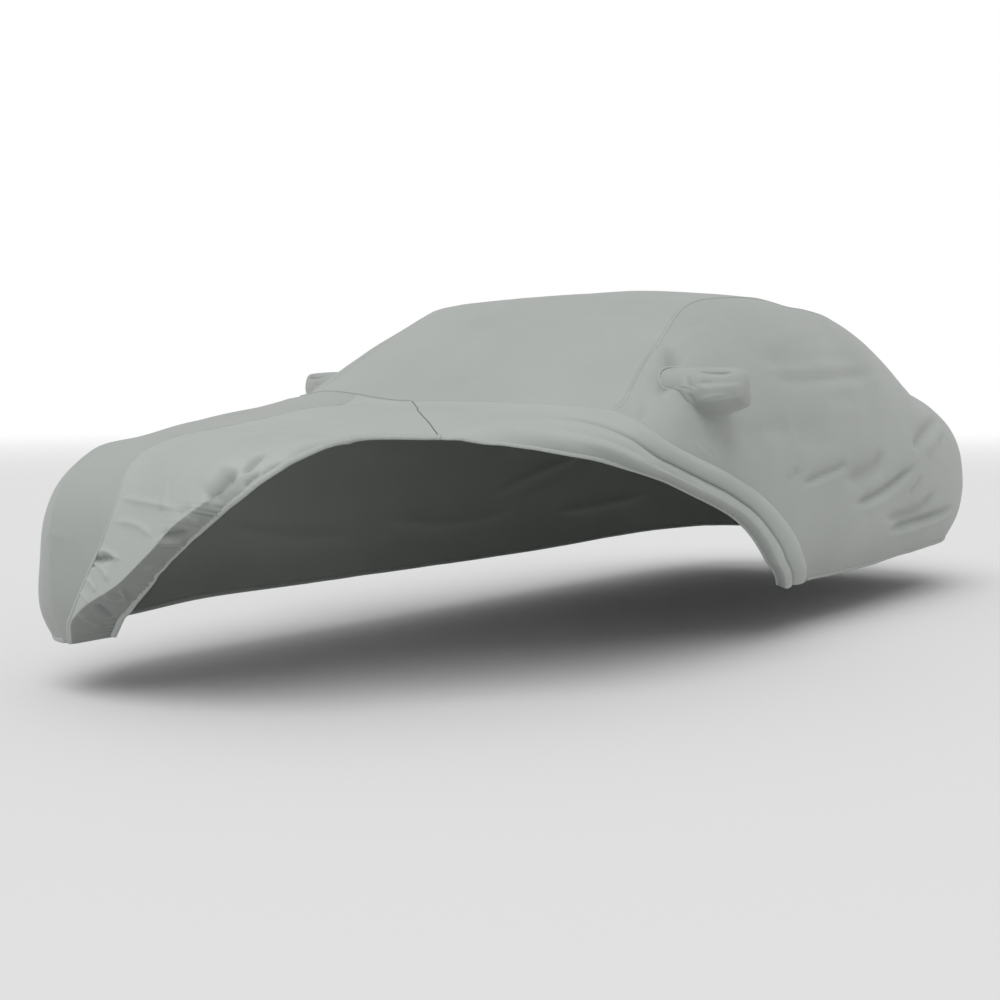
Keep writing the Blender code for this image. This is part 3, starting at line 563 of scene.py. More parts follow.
def hem_piece(name, points, out, step, seed, off=None, section=HEM_SECTION, depth=HEM_PUCKER):
    """The casing along a grid's last column, over the elastic."""
    off = points[:, -1] - points[:, -3] if off is None else off
    even = np.pad(points[:, -1], ((EVEN, EVEN), (0, 0)), mode="reflect", reflect_type="odd")
    line = np.stack([np.convolve(axis, np.full(2 * EVEN + 1, 1 / (2 * EVEN + 1)), "valid")
                     for axis in even.T], 1)
    return strip_piece(name, line, out, section, step, HEM_PITCH, depth, seed, off)


def row_of(station):
    return np.interp(station, np.arange(len(SIDE)), SIDE[:, 0])


ROOF_FOLDS = (
    # name                  x1    y1     x2    y2     x3    y3   height  width  crisp
    ("front slope a",     0.30, 1.22,  0.48, 1.02,  0.63, 0.86, -0.0030, 0.030, 1.7),
    ("front slope b",    -0.08, 0.66,  0.06, 0.69,  0.17, 0.75,  0.0030, 0.030, 1.7),
    ("front slope c",     0.35, 0.94,  0.44, 0.86,  0.51, 0.78, -0.0020, 0.025, 1.7),
    ("front slope d",    -0.16, 1.30,  0.04, 1.08,  0.18, 0.94, -0.0020, 0.030, 1.7),
    ("front slope e",     0.28, 1.37,  0.42, 1.27,  0.50, 1.24, -0.0030, 0.030, 1.7),
    ("rear slope left",   0.46, 3.20,  0.30, 3.42,  0.12, 3.60, -0.0060, 0.045, 1.8),
    ("rear slope right", -0.44, 3.22, -0.26, 3.40, -0.10, 3.62, -0.0050, 0.040, 1.8),
    ("deck edge left",    0.50, 3.70,  0.34, 3.84,  0.10, 3.90, -0.0070, 0.040, 1.7),
    ("deck edge right",  -0.52, 3.74, -0.30, 3.82, -0.06, 3.88, -0.0050, 0.035, 1.7),
    ("deck corner",       0.50, 4.02,  0.30, 4.10,  0.02, 4.12,  0.0050, 0.035, 1.8),
)
TAIL_FOLDS = (
    # name            x1    z1     x2    z2     x3    z3   height  width  crisp
    ("tail left",   0.52, 0.80,  0.28, 0.68,  0.02, 0.64, -0.0100, 0.040, 1.7),
    ("tail right", -0.50, 0.76, -0.30, 0.62, -0.08, 0.56, -0.0090, 0.036, 1.7),
    ("tail low",    0.46, 0.50,  0.22, 0.42, -0.10, 0.40, -0.0080, 0.034, 1.7),
    ("tail ridge",  0.40, 0.60,  0.10, 0.53, -0.24, 0.50,  0.0070, 0.045, 1.9),
)
UP, FRONT, BACK, LEFT, RIGHT = (0, 0, 1), (0, -1, 0), (0, 1, 0), (1, 0, 0), (-1, 0, 0)
REAR_FINE = np.linspace(0, 1, 331)
rear_stations = COWL_STATION + REAR_FINE * (TAIL_STATION - COWL_STATION)
end_down = np.linspace(0, 4, 61)[1:]
roof_rows = np.concatenate([row_of(rear_stations), TAIL_ROW + end_down])
roof_across = np.linspace(-1, 1, 97)
roof_points = undulated(grid_of(middle_cloth, roof_rows[:, None], roof_across[None]))
roof_points = folded(folded(roof_points, ROOF_FOLDS, UP), TAIL_FOLDS, BACK)
tail_first = gathered(roof_points.swapaxes(0, 1), depth=0.0040, reach=0.070, pitch=0.047, seed=3)
roof_points = tail_first.swapaxes(0, 1)
roof_out = normals_of(roof_points)
roof_cloth = sheet_piece("roof_cloth", [roof_points], panel_cloth_tone_and_light("roof", 1.0))
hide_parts("roof_panel")
cowl_seam = seam_piece("cowl_seam", roof_points[0], roof_out[0], 21)
# Painted shadow: a thin dark strip along the cowl seam, right of the short seam's top, stands in for
# the shade where the cloth dips there
cowl_shadow_part = roof_across < SHORT_SEAM_TOP
cowl_shadow_line = painted_shadow_line("cowl_shadow_line", (roof_points[0] + roof_out[0] * SHADOW_LINE_LIFT)[cowl_shadow_part],
                          roof_out[0, cowl_shadow_part], painted_cowl_shadow)
left_rail_seam = seam_piece("left_rail_seam", roof_points[:, -1], roof_out[:, -1], 22)
right_rail_seam = seam_piece("right_rail_seam", roof_points[:, 0], roof_out[:, 0], 23)
tail_hem = hem_piece("tail_hem", tail_first, roof_out[-1], 0.006, 24)

# ------------------------------------------------------------------------------------------
# Left side cloth: a panel of the same cloth from the front slope back to the tail, tight at
# the rail and loose below, sewn to the roof cloth along the rail and to the bunched fender
# cloth at its front.
END_REACH = 1.5
TENT = ((6.2, 7.0, 7.7, 8.5, 9.5, 11.0, 13.0, 15.0),
        (0.0, 0.035, 0.055, 0.050, 0.035, 0.022, 0.010, 0.0))
TENT_WAY = np.array([0.78, -0.12, 0.61])
TENT_FOOT = 1.15

# The bunched cloth on the left fender, by section from the short seam back to the sill: where
# it meets the cowl or the side, where its hem lies, and how high its two rolls stand there.
FENDER = np.array([
    # edge_st edge_down hem_st hem_down upper   lower
    (6.00,   -1.11,     3.11, -0.04,    0.000,  0.004),
    (6.00,   -0.55,     3.52,  0.30,    0.000,  0.006),
    (6.00,    0.00,     3.90,  0.72,    0.012,  0.012),
    (5.78,    0.62,     4.69,  1.19,    0.026,  0.020),
    (6.38,    1.24,     5.60,  1.50,    0.030,  0.024),
    (7.45,    1.53,     6.82,  1.83,    0.030,  0.026),
    (8.48,    1.84,     7.85,  2.15,    0.028,  0.026),
    (9.55,    2.36,     8.90,  2.72,    0.024,  0.024),
    (10.35,   3.12,     9.65,  3.42,    0.018,  0.020),
    (10.80,   4.00,    10.05,  4.00,    0.012,  0.016),
])
LEFT_FOLDS = (
    # name                y1    z1    y2    z2    y3    z3  height  width  crisp
    ("slope crease",    1.16, 1.24, 1.00, 1.13, 0.81, 1.01, -0.025, 0.028, 1.6),
    ("slope ridge",     1.11, 1.22, 0.92, 1.11, 0.75, 1.01,  0.010, 0.030, 2.0),
    ("arc fold",        1.45, 1.34, 1.21, 1.24, 1.05, 1.15, -0.010, 0.020, 1.6),
    ("arc ridge",       1.38, 1.32, 1.20, 1.24, 1.04, 1.15,  0.013, 0.022, 1.8),
    ("cowl end crease", 0.79, 1.02, 0.72, 0.97, 0.61, 0.93, -0.007, 0.020, 1.6),
    ("high wrinkle",    1.70, 1.24, 2.06, 1.28, 2.58, 1.34,  0.006, 0.035, 1.8),
    ("upper wrinkle",   1.55, 1.18, 2.06, 1.18, 2.96, 1.20, -0.009, 0.035, 1.7),
    ("upper ridge",     1.64, 1.14, 2.25, 1.15, 2.96, 1.17,  0.006, 0.030, 1.8),
    ("middle wrinkle",  1.61, 1.10, 2.22, 1.10, 3.23, 1.15, -0.014, 0.030, 1.6),
    ("middle ridge",    2.13, 1.05, 2.42, 1.06, 2.83, 1.08,  0.006, 0.022, 1.6),
    ("shoulder dent",   2.16, 1.03, 2.34, 1.01, 2.60, 1.00, -0.004, 0.045, 2.0),
    ("flank dent a",    1.49, 0.88, 1.64, 0.89, 1.77, 0.87, -0.005, 0.050, 2.0),
    ("flank dent b",    1.29, 0.83, 1.39, 0.83, 1.50, 0.82, -0.005, 0.045, 2.0),
    ("flank dent c",    1.79, 0.83, 1.96, 0.84, 2.25, 0.82, -0.006, 0.050, 2.0),
    ("fine line a",     0.89, 0.86, 0.92, 0.83, 0.98, 0.79,  0.004, 0.012, 1.4),
    ("fine line b",     0.95, 0.87, 0.98, 0.84, 1.04, 0.80,  0.004, 0.012, 1.4),
    ("sill crease",     1.66, 0.67, 1.74, 0.70, 1.81, 0.73, -0.006, 0.016, 1.5),
    ("haunch crease",   1.80, 0.65, 2.09, 0.69, 2.37, 0.74, -0.018, 0.022, 1.5),
    ("haunch ridge",    1.84, 0.63, 2.11, 0.67, 2.36, 0.71,  0.007, 0.024, 1.8),
    ("steep crease",    2.23, 0.65, 2.57, 0.69, 2.80, 0.77, -0.020, 0.045, 1.8),
    ("quarter crease",  2.33, 0.54, 2.76, 0.59, 3.23, 0.71, -0.025, 0.026, 1.5),
    ("quarter ridge",   2.40, 0.51, 2.80, 0.56, 3.24, 0.68,  0.010, 0.030, 1.8),
    ("short crease",    3.04, 0.55, 3.16, 0.59, 3.28, 0.64, -0.009, 0.014, 1.5),
    ("low crease",      2.70, 0.46, 3.17, 0.46, 3.55, 0.57, -0.018, 0.030, 1.7),
    ("hem crease",      2.80, 0.39, 3.30, 0.41, 3.89, 0.45, -0.027, 0.026, 1.5),
    ("hem ridge",       2.85, 0.36, 3.34, 0.38, 3.86, 0.42,  0.011, 0.026, 1.8),
    ("tail crease",     3.15, 0.76, 3.40, 0.85, 3.95, 0.93, -0.020, 0.032, 1.7),
    ("tail ridge",      3.33, 0.73, 3.52, 0.81, 3.80, 0.88,  0.013, 0.032, 1.8),
    ("tail small",      3.51, 0.76, 3.65, 0.80, 3.82, 0.85, -0.007, 0.018, 1.6),
)


def upright_points(station, down):
    """Points of the left side, each on the smooth upright line through its station."""
    row = row_of(station)
    lines = spline_weights(np.arange(len(SIDE)), station)
    points = np.einsum("ns,slk->nlk", lines, net)
    points[:, RAIL] = middle_cloth(row, np.ones(len(row)))
    inner = middle_cloth(row, np.full(len(row), 0.8))
    points = np.concatenate([inner[:, None], points], 1)
    steps = np.linalg.norm(np.diff(points, axis=1), axis=2) ** 0.75
    knots = np.concatenate([np.zeros((len(row), 1)), np.cumsum(steps, 1)], 1)
    span = np.clip(down.astype(int), 0, 3)
    pick = np.arange(len(row))
    low, high = knots[pick, span + 1], knots[pick, span + 2]
    return many_splines(points, knots, low + (high - low) * (down - span))


def side_cloth(station, down):
    """Points of the left side: down runs from the rail, 0, to the hem, 4, and below 0 it goes
    on over the top, -1 being the middle line."""
    station, down = np.asarray(station, float).ravel(), np.asarray(down, float).ravel()
    result = middle_cloth(row_of(station), 1 + np.minimum(down, 0))
    below = down > 0
    result[below] = upright_points(station[below], down[below])
    for end, first_row, sign in ((0.0, 0.0, -1), (TAIL_STATION, TAIL_ROW, 1)):
        near = below & (np.abs(station - end) < END_REACH)
        if near.any():
            seam = middle_cloth(first_row + sign * down[near], np.ones(near.sum()))
            own = upright_points(np.full(near.sum(), end), down[near])
            share = 1 - smooth(np.abs(station[near] - end) / END_REACH)
            result[near] += (seam - own) * share[:, None]
    stand_off = np.interp(station, *TENT) * np.sin(np.pi * np.clip(down / TENT_FOOT, 0, 1)) ** 1.3
    return result + stand_off[:, None] * TENT_WAY


def ridge_station(down):
    """The station where the left side cloth meets the bunched fender cloth, by place down."""
    table = FENDER[FENDER[:, 1] >= 0]
    return spline(table[:, :1], down, table[:, 1])[:, 0]


side_down = np.linspace(0, 4, 113)
first = ridge_station(side_down)
left_stations = first[None] + REAR_FINE[:, None] * (TAIL_STATION - first[None])
left_points = undulated(grid_of(side_cloth, left_stations, side_down[None]))
left_flat = left_points
left_points = folded(left_flat, LEFT_FOLDS, LEFT)
# Painted shade: the side's cloth is darkened where its folds sink it
left_painted_shade = fold_painted_shade(left_flat, left_points)
left_points = gathered(left_points, depth=0.0045, reach=0.075, pitch=0.060, seed=5)
left_out = normals_of(left_points)
left_cloth = panel_cloth_tone_and_light("left side", 0.97)
side_cloth_left = sheet_piece("side_cloth_left", [left_points], left_cloth, painted_shade=left_painted_shade)
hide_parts("side_panel_left")
left_hem = hem_piece("left_hem", left_points, left_out[:, -1], 0.006, 25)
fender_seam = seam_piece("fender_seam", left_points[0], left_out[0], 26)

# ------------------------------------------------------------------------------------------
# Right side cloth: the same run on the right, with the front corner and the outer part of the
# hood cut in one with it, sewn to the roof cloth along the rail and pulled down tight to its
# elastic hem.
HOOD_SEAM = np.array([
    # row   across
    (-4.00, -0.945), (-3.60, -0.910), (-3.10, -0.840), (-2.66, -0.720), (-2.30, -0.630),
    (-1.90, -0.530), (-1.40, -0.440), (-0.80, -0.400), (0.00, -0.385), (0.80, -0.240),
    (1.60, -0.250), (2.40, -0.300), (3.20, -0.390), (4.00, -0.500),
])
LIFTED_HEM = np.array([
    (-4.00, -0.662), (-3.56, -0.574), (-3.02, -0.474), (-2.66, -0.361), (-2.37, -0.255),
    (-2.00, -0.110), (-1.69, 0.047), (-1.39, 0.213), (-1.04, 0.400), (-0.56, 0.570),
    (0.00, 0.655), (0.62, 0.690), (1.05, 0.770), (1.30, 0.960),
])
HEM_MEETS_SEAM = 1.30
SHORT_SEAM = ((1.30, 1.60, 1.90, 2.20, 2.50, 2.80, 3.10, 3.40, 3.70, 4.00),
              (0.960, 0.815, 0.675, 0.530, 0.394, 0.277, 0.166, 0.081, -0.007, SHORT_SEAM_TOP))
CORNER_FOLDS = (
    # name            x1     z1     x2     z2     x3     z3  height  width  crisp
    ("upper line", -0.61,  0.77, -0.42,  0.78, -0.24, 0.785, 0.0040, 0.014, 1.6),
    ("lower line", -0.65, 0.535, -0.50, 0.555, -0.39, 0.537, 0.0030, 0.016, 1.6),
)
RIGHT_FOLDS = (
    # name                y1    z1     y2    z2    y3    z3  height  width  crisp
    ("slope crease",    1.18, 1.25,  1.02, 1.14, 0.80, 1.02, -0.012, 0.028, 1.7),
    ("upper wrinkle",   1.60, 1.16,  2.30, 1.19, 3.10, 1.21, -0.006, 0.034, 1.7),
    ("middle wrinkle",  1.50, 1.08,  2.30, 1.12, 3.20, 1.10, -0.009, 0.032, 1.6),
    ("front crease",   -0.30, 0.72,  0.00, 0.66, 0.36, 0.64, -0.008, 0.030, 1.7),
    ("front low",      -0.42, 0.56, -0.06, 0.52, 0.30, 0.58, -0.012, 0.030, 1.6),
    ("front sill",      0.30, 0.50,  0.74, 0.42, 1.20, 0.40, -0.011, 0.028, 1.6),
    ("flank dent",      1.10, 0.80,  1.50, 0.76, 2.00, 0.80, -0.007, 0.050, 2.0),
    ("sill sag",        1.30, 0.46,  1.90, 0.40, 2.50, 0.44, -0.010, 0.032, 1.7),
    ("haunch crease",   2.20, 0.52,  2.70, 0.62, 3.20, 0.74, -0.017, 0.028, 1.5),
    ("haunch ridge",    2.26, 0.49,  2.76, 0.59, 3.22, 0.70,  0.008, 0.030, 1.8),
    ("quarter crease",  3.02, 0.76,  3.40, 0.86, 3.86, 0.93, -0.014, 0.034, 1.7),
    ("hem crease",      2.80, 0.40,  3.30, 0.42, 3.86, 0.46, -0.018, 0.028, 1.5),
)


def hood_edges(row):
    """The hood cloth's right and left limits across the middle cloth at each row."""
    right = spline(HOOD_SEAM[:, 1:], row, HOOD_SEAM[:, 0])[:, 0]
    left = spline(LIFTED_HEM[:, 1:], np.minimum(row, HEM_MEETS_SEAM), LIFTED_HEM[:, 0])[:, 0]
    short = np.interp(row, *SHORT_SEAM)
    return right, np.where(row < HEM_MEETS_SEAM, left, short)


ON_RIGHT = np.array([-1, 1, 1])

# Painted shade: the front corner's cloth is painted darker low down, where shade falls: by how much,
# below what height and over what drop, and in front of what place and over what run.
FRONT_PAINTED_SHADE, FRONT_TOP, FRONT_DROP, FRONT_BACK, FRONT_RUN = 0.20, 0.80, 0.55, 0.9, 1.2


def meet_corner(side, corner):
    """Puts the side's front and upper front edges on the corner that is cut in one with it."""
    side[:cowl + 1, 0] = corner[front_end:, -1]
    side[0] = corner[front_end::-1, -1]
    return side


front_stations = np.linspace(0, COWL_STATION, 121)
right_stations = np.concatenate([front_stations, rear_stations[1:]])
right_down = np.linspace(0, 4, 81)
right_points = grid_of(side_cloth, right_stations[:, None], right_down[None]) * ON_RIGHT
right_points = swell_right(right_points)
corner_rows = np.concatenate([-right_down[:0:-1], row_of(front_stations)])
corner_right, _ = hood_edges(corner_rows)
corner_share = np.linspace(0, 1, 29)
corner_across = corner_right[:, None] + (-1 - corner_right)[:, None] * corner_share
corner_points = grid_of(middle_cloth, corner_rows[:, None], corner_across)
cowl, front_end = len(front_stations) - 1, len(right_down) - 1
right_points = undulated(meet_corner(right_points, corner_points)[:, ::-1])[:, ::-1]
corner_points = undulated(corner_points[:, ::-1])[:, ::-1]
right_points = meet_corner(right_points, corner_points)
corner_points = folded(corner_points[:, ::-1], CORNER_FOLDS, FRONT)[:, ::-1]
right_points = folded(folded(right_points[:, ::-1], CORNER_FOLDS, FRONT), RIGHT_FOLDS, RIGHT)[:, ::-1]
right_points = gathered(right_points, depth=0.0045, reach=0.075, pitch=0.060, seed=6)
joined = np.concatenate([right_points[0, ::-1], right_points[1:cowl + 1, 0]])
corner_points += (joined - corner_points[:, -1])[:, None] * corner_share[:, None] ** 3
right_out = -normals_of(right_points)
right_cloth = panel_cloth_tone_and_light("right side", 0.98)
# Painted shade on the low front corner of the right side
right_painted_shade = [FRONT_PAINTED_SHADE * smooth((FRONT_TOP - points[..., 2]) / FRONT_DROP)
             * smooth((FRONT_BACK - points[..., 1]) / FRONT_RUN)
             for points in (right_points, corner_points)]
right_painted_shade = np.concatenate([painted_shade.ravel() for painted_shade in right_painted_shade])
side_cloth_right = sheet_piece("side_cloth_right", [right_points, corner_points], right_cloth,
                               on_right=True, merge=True, painted_shade=right_painted_shade)
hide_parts("side_panel_right")
right_hem = hem_piece("right_hem", right_points, right_out[:, -1], 0.007, 27)

# ------------------------------------------------------------------------------------------
# Hood cloth: nose and hood, of the same cloth, sewn along the long seam to the right side and
# along the short seam to the fender. Its lifted hem tucks in behind the nose and hangs in folds
# from the hood's lip.
TUCK_RIDGE = np.array([
    # row   across
    (-4.00, -0.935), (-3.56, -0.887), (-3.02, -0.790), (-2.66, -0.590), (-2.37, -0.370),
    (-2.00, -0.175), (-1.69, -0.030), (-1.39, 0.085), (-1.04, 0.270), (-0.56, 0.440),
    (0.00, 0.545), (1.30, 0.800),
])
TUCK_DEPTH = ((-4.0, -3.0, -2.3, -1.7, -1.4, -1.0, -0.5, 0.5, 1.3),
              (0.085, 0.100, 0.100, 0.086, 0.070, 0.044, 0.022, 0.010, 0.0))
TUCK_TURN = 0.12
# Painted shade on the band turned in behind the nose: how much darker it is painted, by row, deepest
# low down, and over what share of the band from its ridge that sets in
TUCK_PAINTED_SHADE, TUCK_EDGE = ((-4.0, -2.8, -1.6, -0.9, -0.1), (0.56, 0.47, 0.44, 0.26, 0.0)), 0.07
HEM_GATHER = ((-0.8, 0.2), (0.0105, 0.0040))
SEAM_FADE, HEM_WIDE = 0.045, 0.017
HOOD_HEM_SECTION = np.array([
    # across  out      pucker
    (-0.0170, 0.0070,  0.3),
    (-0.0150, 0.0105,  0.7),
    (-0.0095, 0.0120,  1.0),
    (-0.0035, 0.0095,  1.0),
    (0.0012,  0.0055,  0.8),
    (0.0024,  -0.0005, 0.5),
    (-0.0010, -0.0042, 0.3),
    (-0.0080, -0.0056, 0.0),
    (-0.0165, -0.0026, 0.0),
])
NOSE_FOLDS = (
    # name                     x1     z1      x2     z2      x3     z3  height  width  crisp
    ("upper cross crease", -0.220, 0.693, -0.070, 0.683,  0.080, 0.668,  0.009, 0.012, 1.4),
    ("lower cross crease", -0.230, 0.620, -0.110, 0.613, -0.020, 0.575,  0.009, 0.012, 1.4),
    ("upright crease",     -0.015, 0.760,  0.000, 0.708,  0.000, 0.652,  0.007, 0.012, 1.4),
    ("pinch edge",         -0.290, 0.528, -0.227, 0.516, -0.160, 0.498,  0.009, 0.009, 1.4),
    ("pinch",              -0.322, 0.500, -0.277, 0.502, -0.190, 0.499, -0.018, 0.013, 1.6),
    ("pinch low",          -0.335, 0.478, -0.300, 0.485, -0.240, 0.495, -0.012, 0.013, 1.6),
    ("seam crease a",      -0.315, 0.480, -0.260, 0.461, -0.230, 0.421,  0.009, 0.012, 1.4),
    ("seam crease b",      -0.364, 0.431, -0.325, 0.414, -0.298, 0.383,  0.007, 0.010, 1.4),
    ("seam crease c",      -0.400, 0.385, -0.367, 0.365, -0.350, 0.338,  0.006, 0.010, 1.4),
    ("tuck valley a",       0.006, 0.595,  0.048, 0.587,  0.091, 0.603, -0.018, 0.016, 1.6),
    ("tuck crease a",      -0.010, 0.572,  0.029, 0.566,  0.066, 0.569,  0.018, 0.010, 1.4),
    ("tuck valley b",       0.067, 0.642,  0.094, 0.665,  0.127, 0.677, -0.007, 0.014, 1.6),
    ("tuck crease b",       0.100, 0.652,  0.121, 0.637,  0.148, 0.638,  0.009, 0.011, 1.5),
    ("tuck crease c",      -0.095, 0.470, -0.062, 0.489, -0.040, 0.494,  0.016, 0.010, 1.4),
    ("tuck crease d",      -0.285, 0.390, -0.246, 0.371, -0.222, 0.362,  0.014, 0.012, 1.5),
    ("tuck crease e",      -0.190, 0.412, -0.218, 0.375, -0.234, 0.345,  0.012, 0.010, 1.5),
    ("low crease a",       -0.415, 0.309, -0.392, 0.281, -0.373, 0.250,  0.010, 0.014, 1.6),
    ("low crease b",       -0.324, 0.348, -0.326, 0.316, -0.323, 0.289, -0.012, 0.014, 1.6),
    ("nose trough",         0.186, 0.684,  0.212, 0.738,  0.258, 0.803, -0.036, 0.027, 1.7),
    ("second trough",       0.280, 0.780,  0.286, 0.818,  0.288, 0.850, -0.022, 0.016, 1.6),
    ("shallow trough",      0.198, 0.825,  0.192, 0.855,  0.146, 0.887, -0.007, 0.030, 1.8),
    ("fan ridge",           0.143, 0.701,  0.189, 0.816,  0.110, 0.901,  0.017, 0.045, 2.0),
    ("hem pinch a",         0.298, 0.737,  0.311, 0.761,  0.338, 0.786, -0.012, 0.012, 1.5),
    ("hem pinch b",         0.340, 0.771,  0.356, 0.798,  0.379, 0.822, -0.009, 0.012, 1.5),
)
HOOD_FOLDS = (
    # name                  x1     y1     x2     y2     x3     y3  height  width  crisp
    ("hood trough",       0.38, -0.70,  0.41, -0.53,  0.50, -0.30, -0.017, 0.022, 1.6),
    ("hood ridge",        0.42, -0.66,  0.46, -0.50,  0.55, -0.33,  0.005, 0.024, 1.8),
    ("lip ridge",        -0.22, -0.75, -0.13, -0.74,  0.01, -0.76,  0.009, 0.040, 2.0),
    ("hood middle line",  0.21, -0.35,  0.29, -0.28,  0.42, -0.20,  0.004, 0.025, 1.6),
    ("cowl shade",       -0.30,  0.27, -0.25,  0.41, -0.11,  0.45, -0.009, 0.020, 1.6),
)
hood_rows = np.concatenate([np.linspace(-4, 0, 211)[:-1], np.linspace(0, HEM_MEETS_SEAM, 71)[:-1],
                            np.linspace(HEM_MEETS_SEAM, COWL_ROW, 91)])
hood_share = 1 - (1 - np.linspace(0, 1, 105)) ** 1.25
hood_right, hood_left = hood_edges(hood_rows)
hood_across = hood_right[:, None] + (hood_left - hood_right)[:, None] * hood_share
hood_points = grid_of(middle_cloth, hood_rows[:, None], hood_across)
tuck_ridge = spline(TUCK_RIDGE[:, 1:], hood_rows, TUCK_RIDGE[:, 0])
inward = np.clip((hood_across - tuck_ridge) / (hood_across[:, -1:] - tuck_ridge), 0, 1)
tuck = (np.hypot(inward, TUCK_TURN) - TUCK_TURN) / (math.hypot(1, TUCK_TURN) - TUCK_TURN)
tuck = tuck * np.interp(hood_rows, *TUCK_DEPTH)[:, None]
hood_points = undulated(hood_points)
hood_out = normals_of(hood_points)
hood_off = hood_points[:, -1] - hood_points[:, -3]
hood_flat = hood_points - hood_out * tuck[..., None]
hood_points = folded(folded(hood_flat, NOSE_FOLDS, FRONT), HOOD_FOLDS, UP)
# Painted shade: the turned-in band and the cloth sunk deep in folds are painted darker, by the
# greater of the two
tuck_painted_shade = np.interp(hood_rows, *TUCK_PAINTED_SHADE)[:, None] * smooth(inward / TUCK_EDGE)
hood_painted_shade = np.maximum(fold_painted_shade(hood_flat, hood_points), tuck_painted_shade)
lifted = np.flatnonzero(hood_rows <= HEM_MEETS_SEAM)
pinched = np.interp(hood_rows[lifted], *HEM_GATHER)[:, None]
hood_points[lifted] = gathered(hood_points[lifted], pinched, reach=0.080, pitch=0.034, seed=7)
seam_line = np.stack([np.interp(hood_rows, corner_rows, axis) for axis in corner_points[:, 0].T], 1)
seam_away = np.linalg.norm(hood_points - hood_points[:, :1], axis=2)
hood_points += (seam_line - hood_points[:, 0])[:, None] * smooth(1 - seam_away / SEAM_FADE)[..., None]
# The hood's cloth is painted a tenth lighter, partly its own tone, partly painted light
hood_cloth = sheet_piece("hood_cloth", [hood_points], panel_cloth_tone_and_light("hood", 1.10), painted_shade=hood_painted_shade)
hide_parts("hood_panel")
hood_seam = seam_piece("hood_seam", hood_points[:, 0], hood_out[:, 0], 28)
short_line = hood_points[lifted[-1]:, -1]
clear = lengths_of(short_line) > HEM_WIDE
# The short seam is drawn only as a thin strip painted dark, a painted shadow along it, kept clear of
# the hem's casing
short_seam = painted_shadow_line("short_seam", short_line[clear], hood_out[lifted[-1]:, -1][clear],
                         painted_seam_shadow)
hood_hem = hem_piece("hood_hem", hood_points[lifted], hood_out[lifted, -1], 0.004, 30,
                     off=hood_off[lifted], section=HOOD_HEM_SECTION, depth=0.0040)

# ------------------------------------------------------------------------------------------
# Left fender cloth: the lifted corner, of the same cloth, bunched up in two rolls that run from
# the cowl down to the sill, with its elastic hem turned under along their lower side.
ROLL_CREASE, LOWER_ROLL_END, ROLL_FULLNESS = 0.53, 1.06, 0.5
# How far the cloth along the hem turns under and over what share of the way across, and how much
# darker that strip is painted as painted shade
UNDER_TURN, UNDER_SHARE, UNDER_PAINTED_SHADE = 0.028, 0.16, 0.34
# Painted shade along the crease between the two rolls: how much darker, and its width
CREASE_PAINTED_SHADE, CREASE_WIDE = 0.16, 0.035
# Where, down the fender, its painted shade starts to fade in, and over what run
PAINTED_SHADE_FROM, PAINTED_SHADE_OVER = -1.0, 1.2
SHORT_SEAM_REACH = 0.5     # how far down the fender its upper edge is drawn to the short seam
FENDER_FOLDS = (
    # name                y1     z1    y2     z2    y3     z3  height  width  crisp
    ("roll start",      0.10, 0.925, 0.15, 0.915, 0.21, 0.894, -0.006, 0.016, 1.6),
    ("roll crease",     0.14, 0.918, 0.31, 0.869, 0.50, 0.793, -0.008, 0.016, 1.5),
    ("roll crease low", 0.50, 0.793, 0.70, 0.733, 0.90, 0.677, -0.008, 0.018, 1.5),
    ("lower hollow",    0.06, 0.890, 0.23, 0.835, 0.44, 0.774, -0.006, 0.022, 1.7),
)
fender_down = np.concatenate([np.linspace(-1.11, 0, 91)[:-1], np.linspace(0, 4, 331)])
section = np.interp(fender_down, FENDER[:, 1], range(len(FENDER)))
shape = spline(FENDER, section)
shape[:, 1] = fender_down
on_side = fender_down >= 0
shape[on_side, 0] = ridge_station(fender_down[on_side])
fender_share = np.linspace(0, 1, 65)
fender_stations = shape[:, :1] + (shape[:, 2:3] - shape[:, :1]) * fender_share
fender_places = shape[:, 1:2] + (shape[:, 3:4] - shape[:, 1:2]) * fender_share
fender_points = undulated(grid_of(side_cloth, fender_stations, fender_places))
upper = np.sin(np.pi * np.clip(fender_share / ROLL_CREASE, 0, 1)) ** ROLL_FULLNESS
lower_share = (fender_share - ROLL_CREASE) / (LOWER_ROLL_END - ROLL_CREASE)
lower = np.sin(np.pi * np.clip(lower_share, 0, 1)) ** ROLL_FULLNESS
roll = shape[:, 4:5] * upper + shape[:, 5:6] * lower
roll = roll - UNDER_TURN * smooth((fender_share - 1 + UNDER_SHARE) / UNDER_SHARE)
fender_out = normals_of(fender_points)
fender_points = folded(fender_points + fender_out * roll[..., None], FENDER_FOLDS, LEFT)
fender_points = gathered(fender_points, depth=0.0035, reach=0.045, pitch=0.040, seed=8)
short_line = short_line[::-1]
short_place = lengths_of(short_line) / lengths_of(short_line)[-1]
short_line = np.stack([np.interp(fender_share, short_place, axis) for axis in short_line.T], 1)
seam_reach = smooth(1 - (fender_down[:, None, None] - fender_down[0]) / SHORT_SEAM_REACH)
fender_points += (short_line - fender_points[0]) * seam_reach
# Painted shade: the crease between the rolls and the turned-under strip are painted darker, faded out
# towards the fender's upper end
crease_painted_shade = CREASE_PAINTED_SHADE * np.exp(-((fender_share - ROLL_CREASE) / CREASE_WIDE) ** 2)
under_painted_shade = UNDER_PAINTED_SHADE * smooth((fender_share - 1 + UNDER_SHARE) / UNDER_SHARE)
fender_painted_shade = (crease_painted_shade + under_painted_shade) * smooth((fender_down - PAINTED_SHADE_FROM) / PAINTED_SHADE_OVER)[:, None]
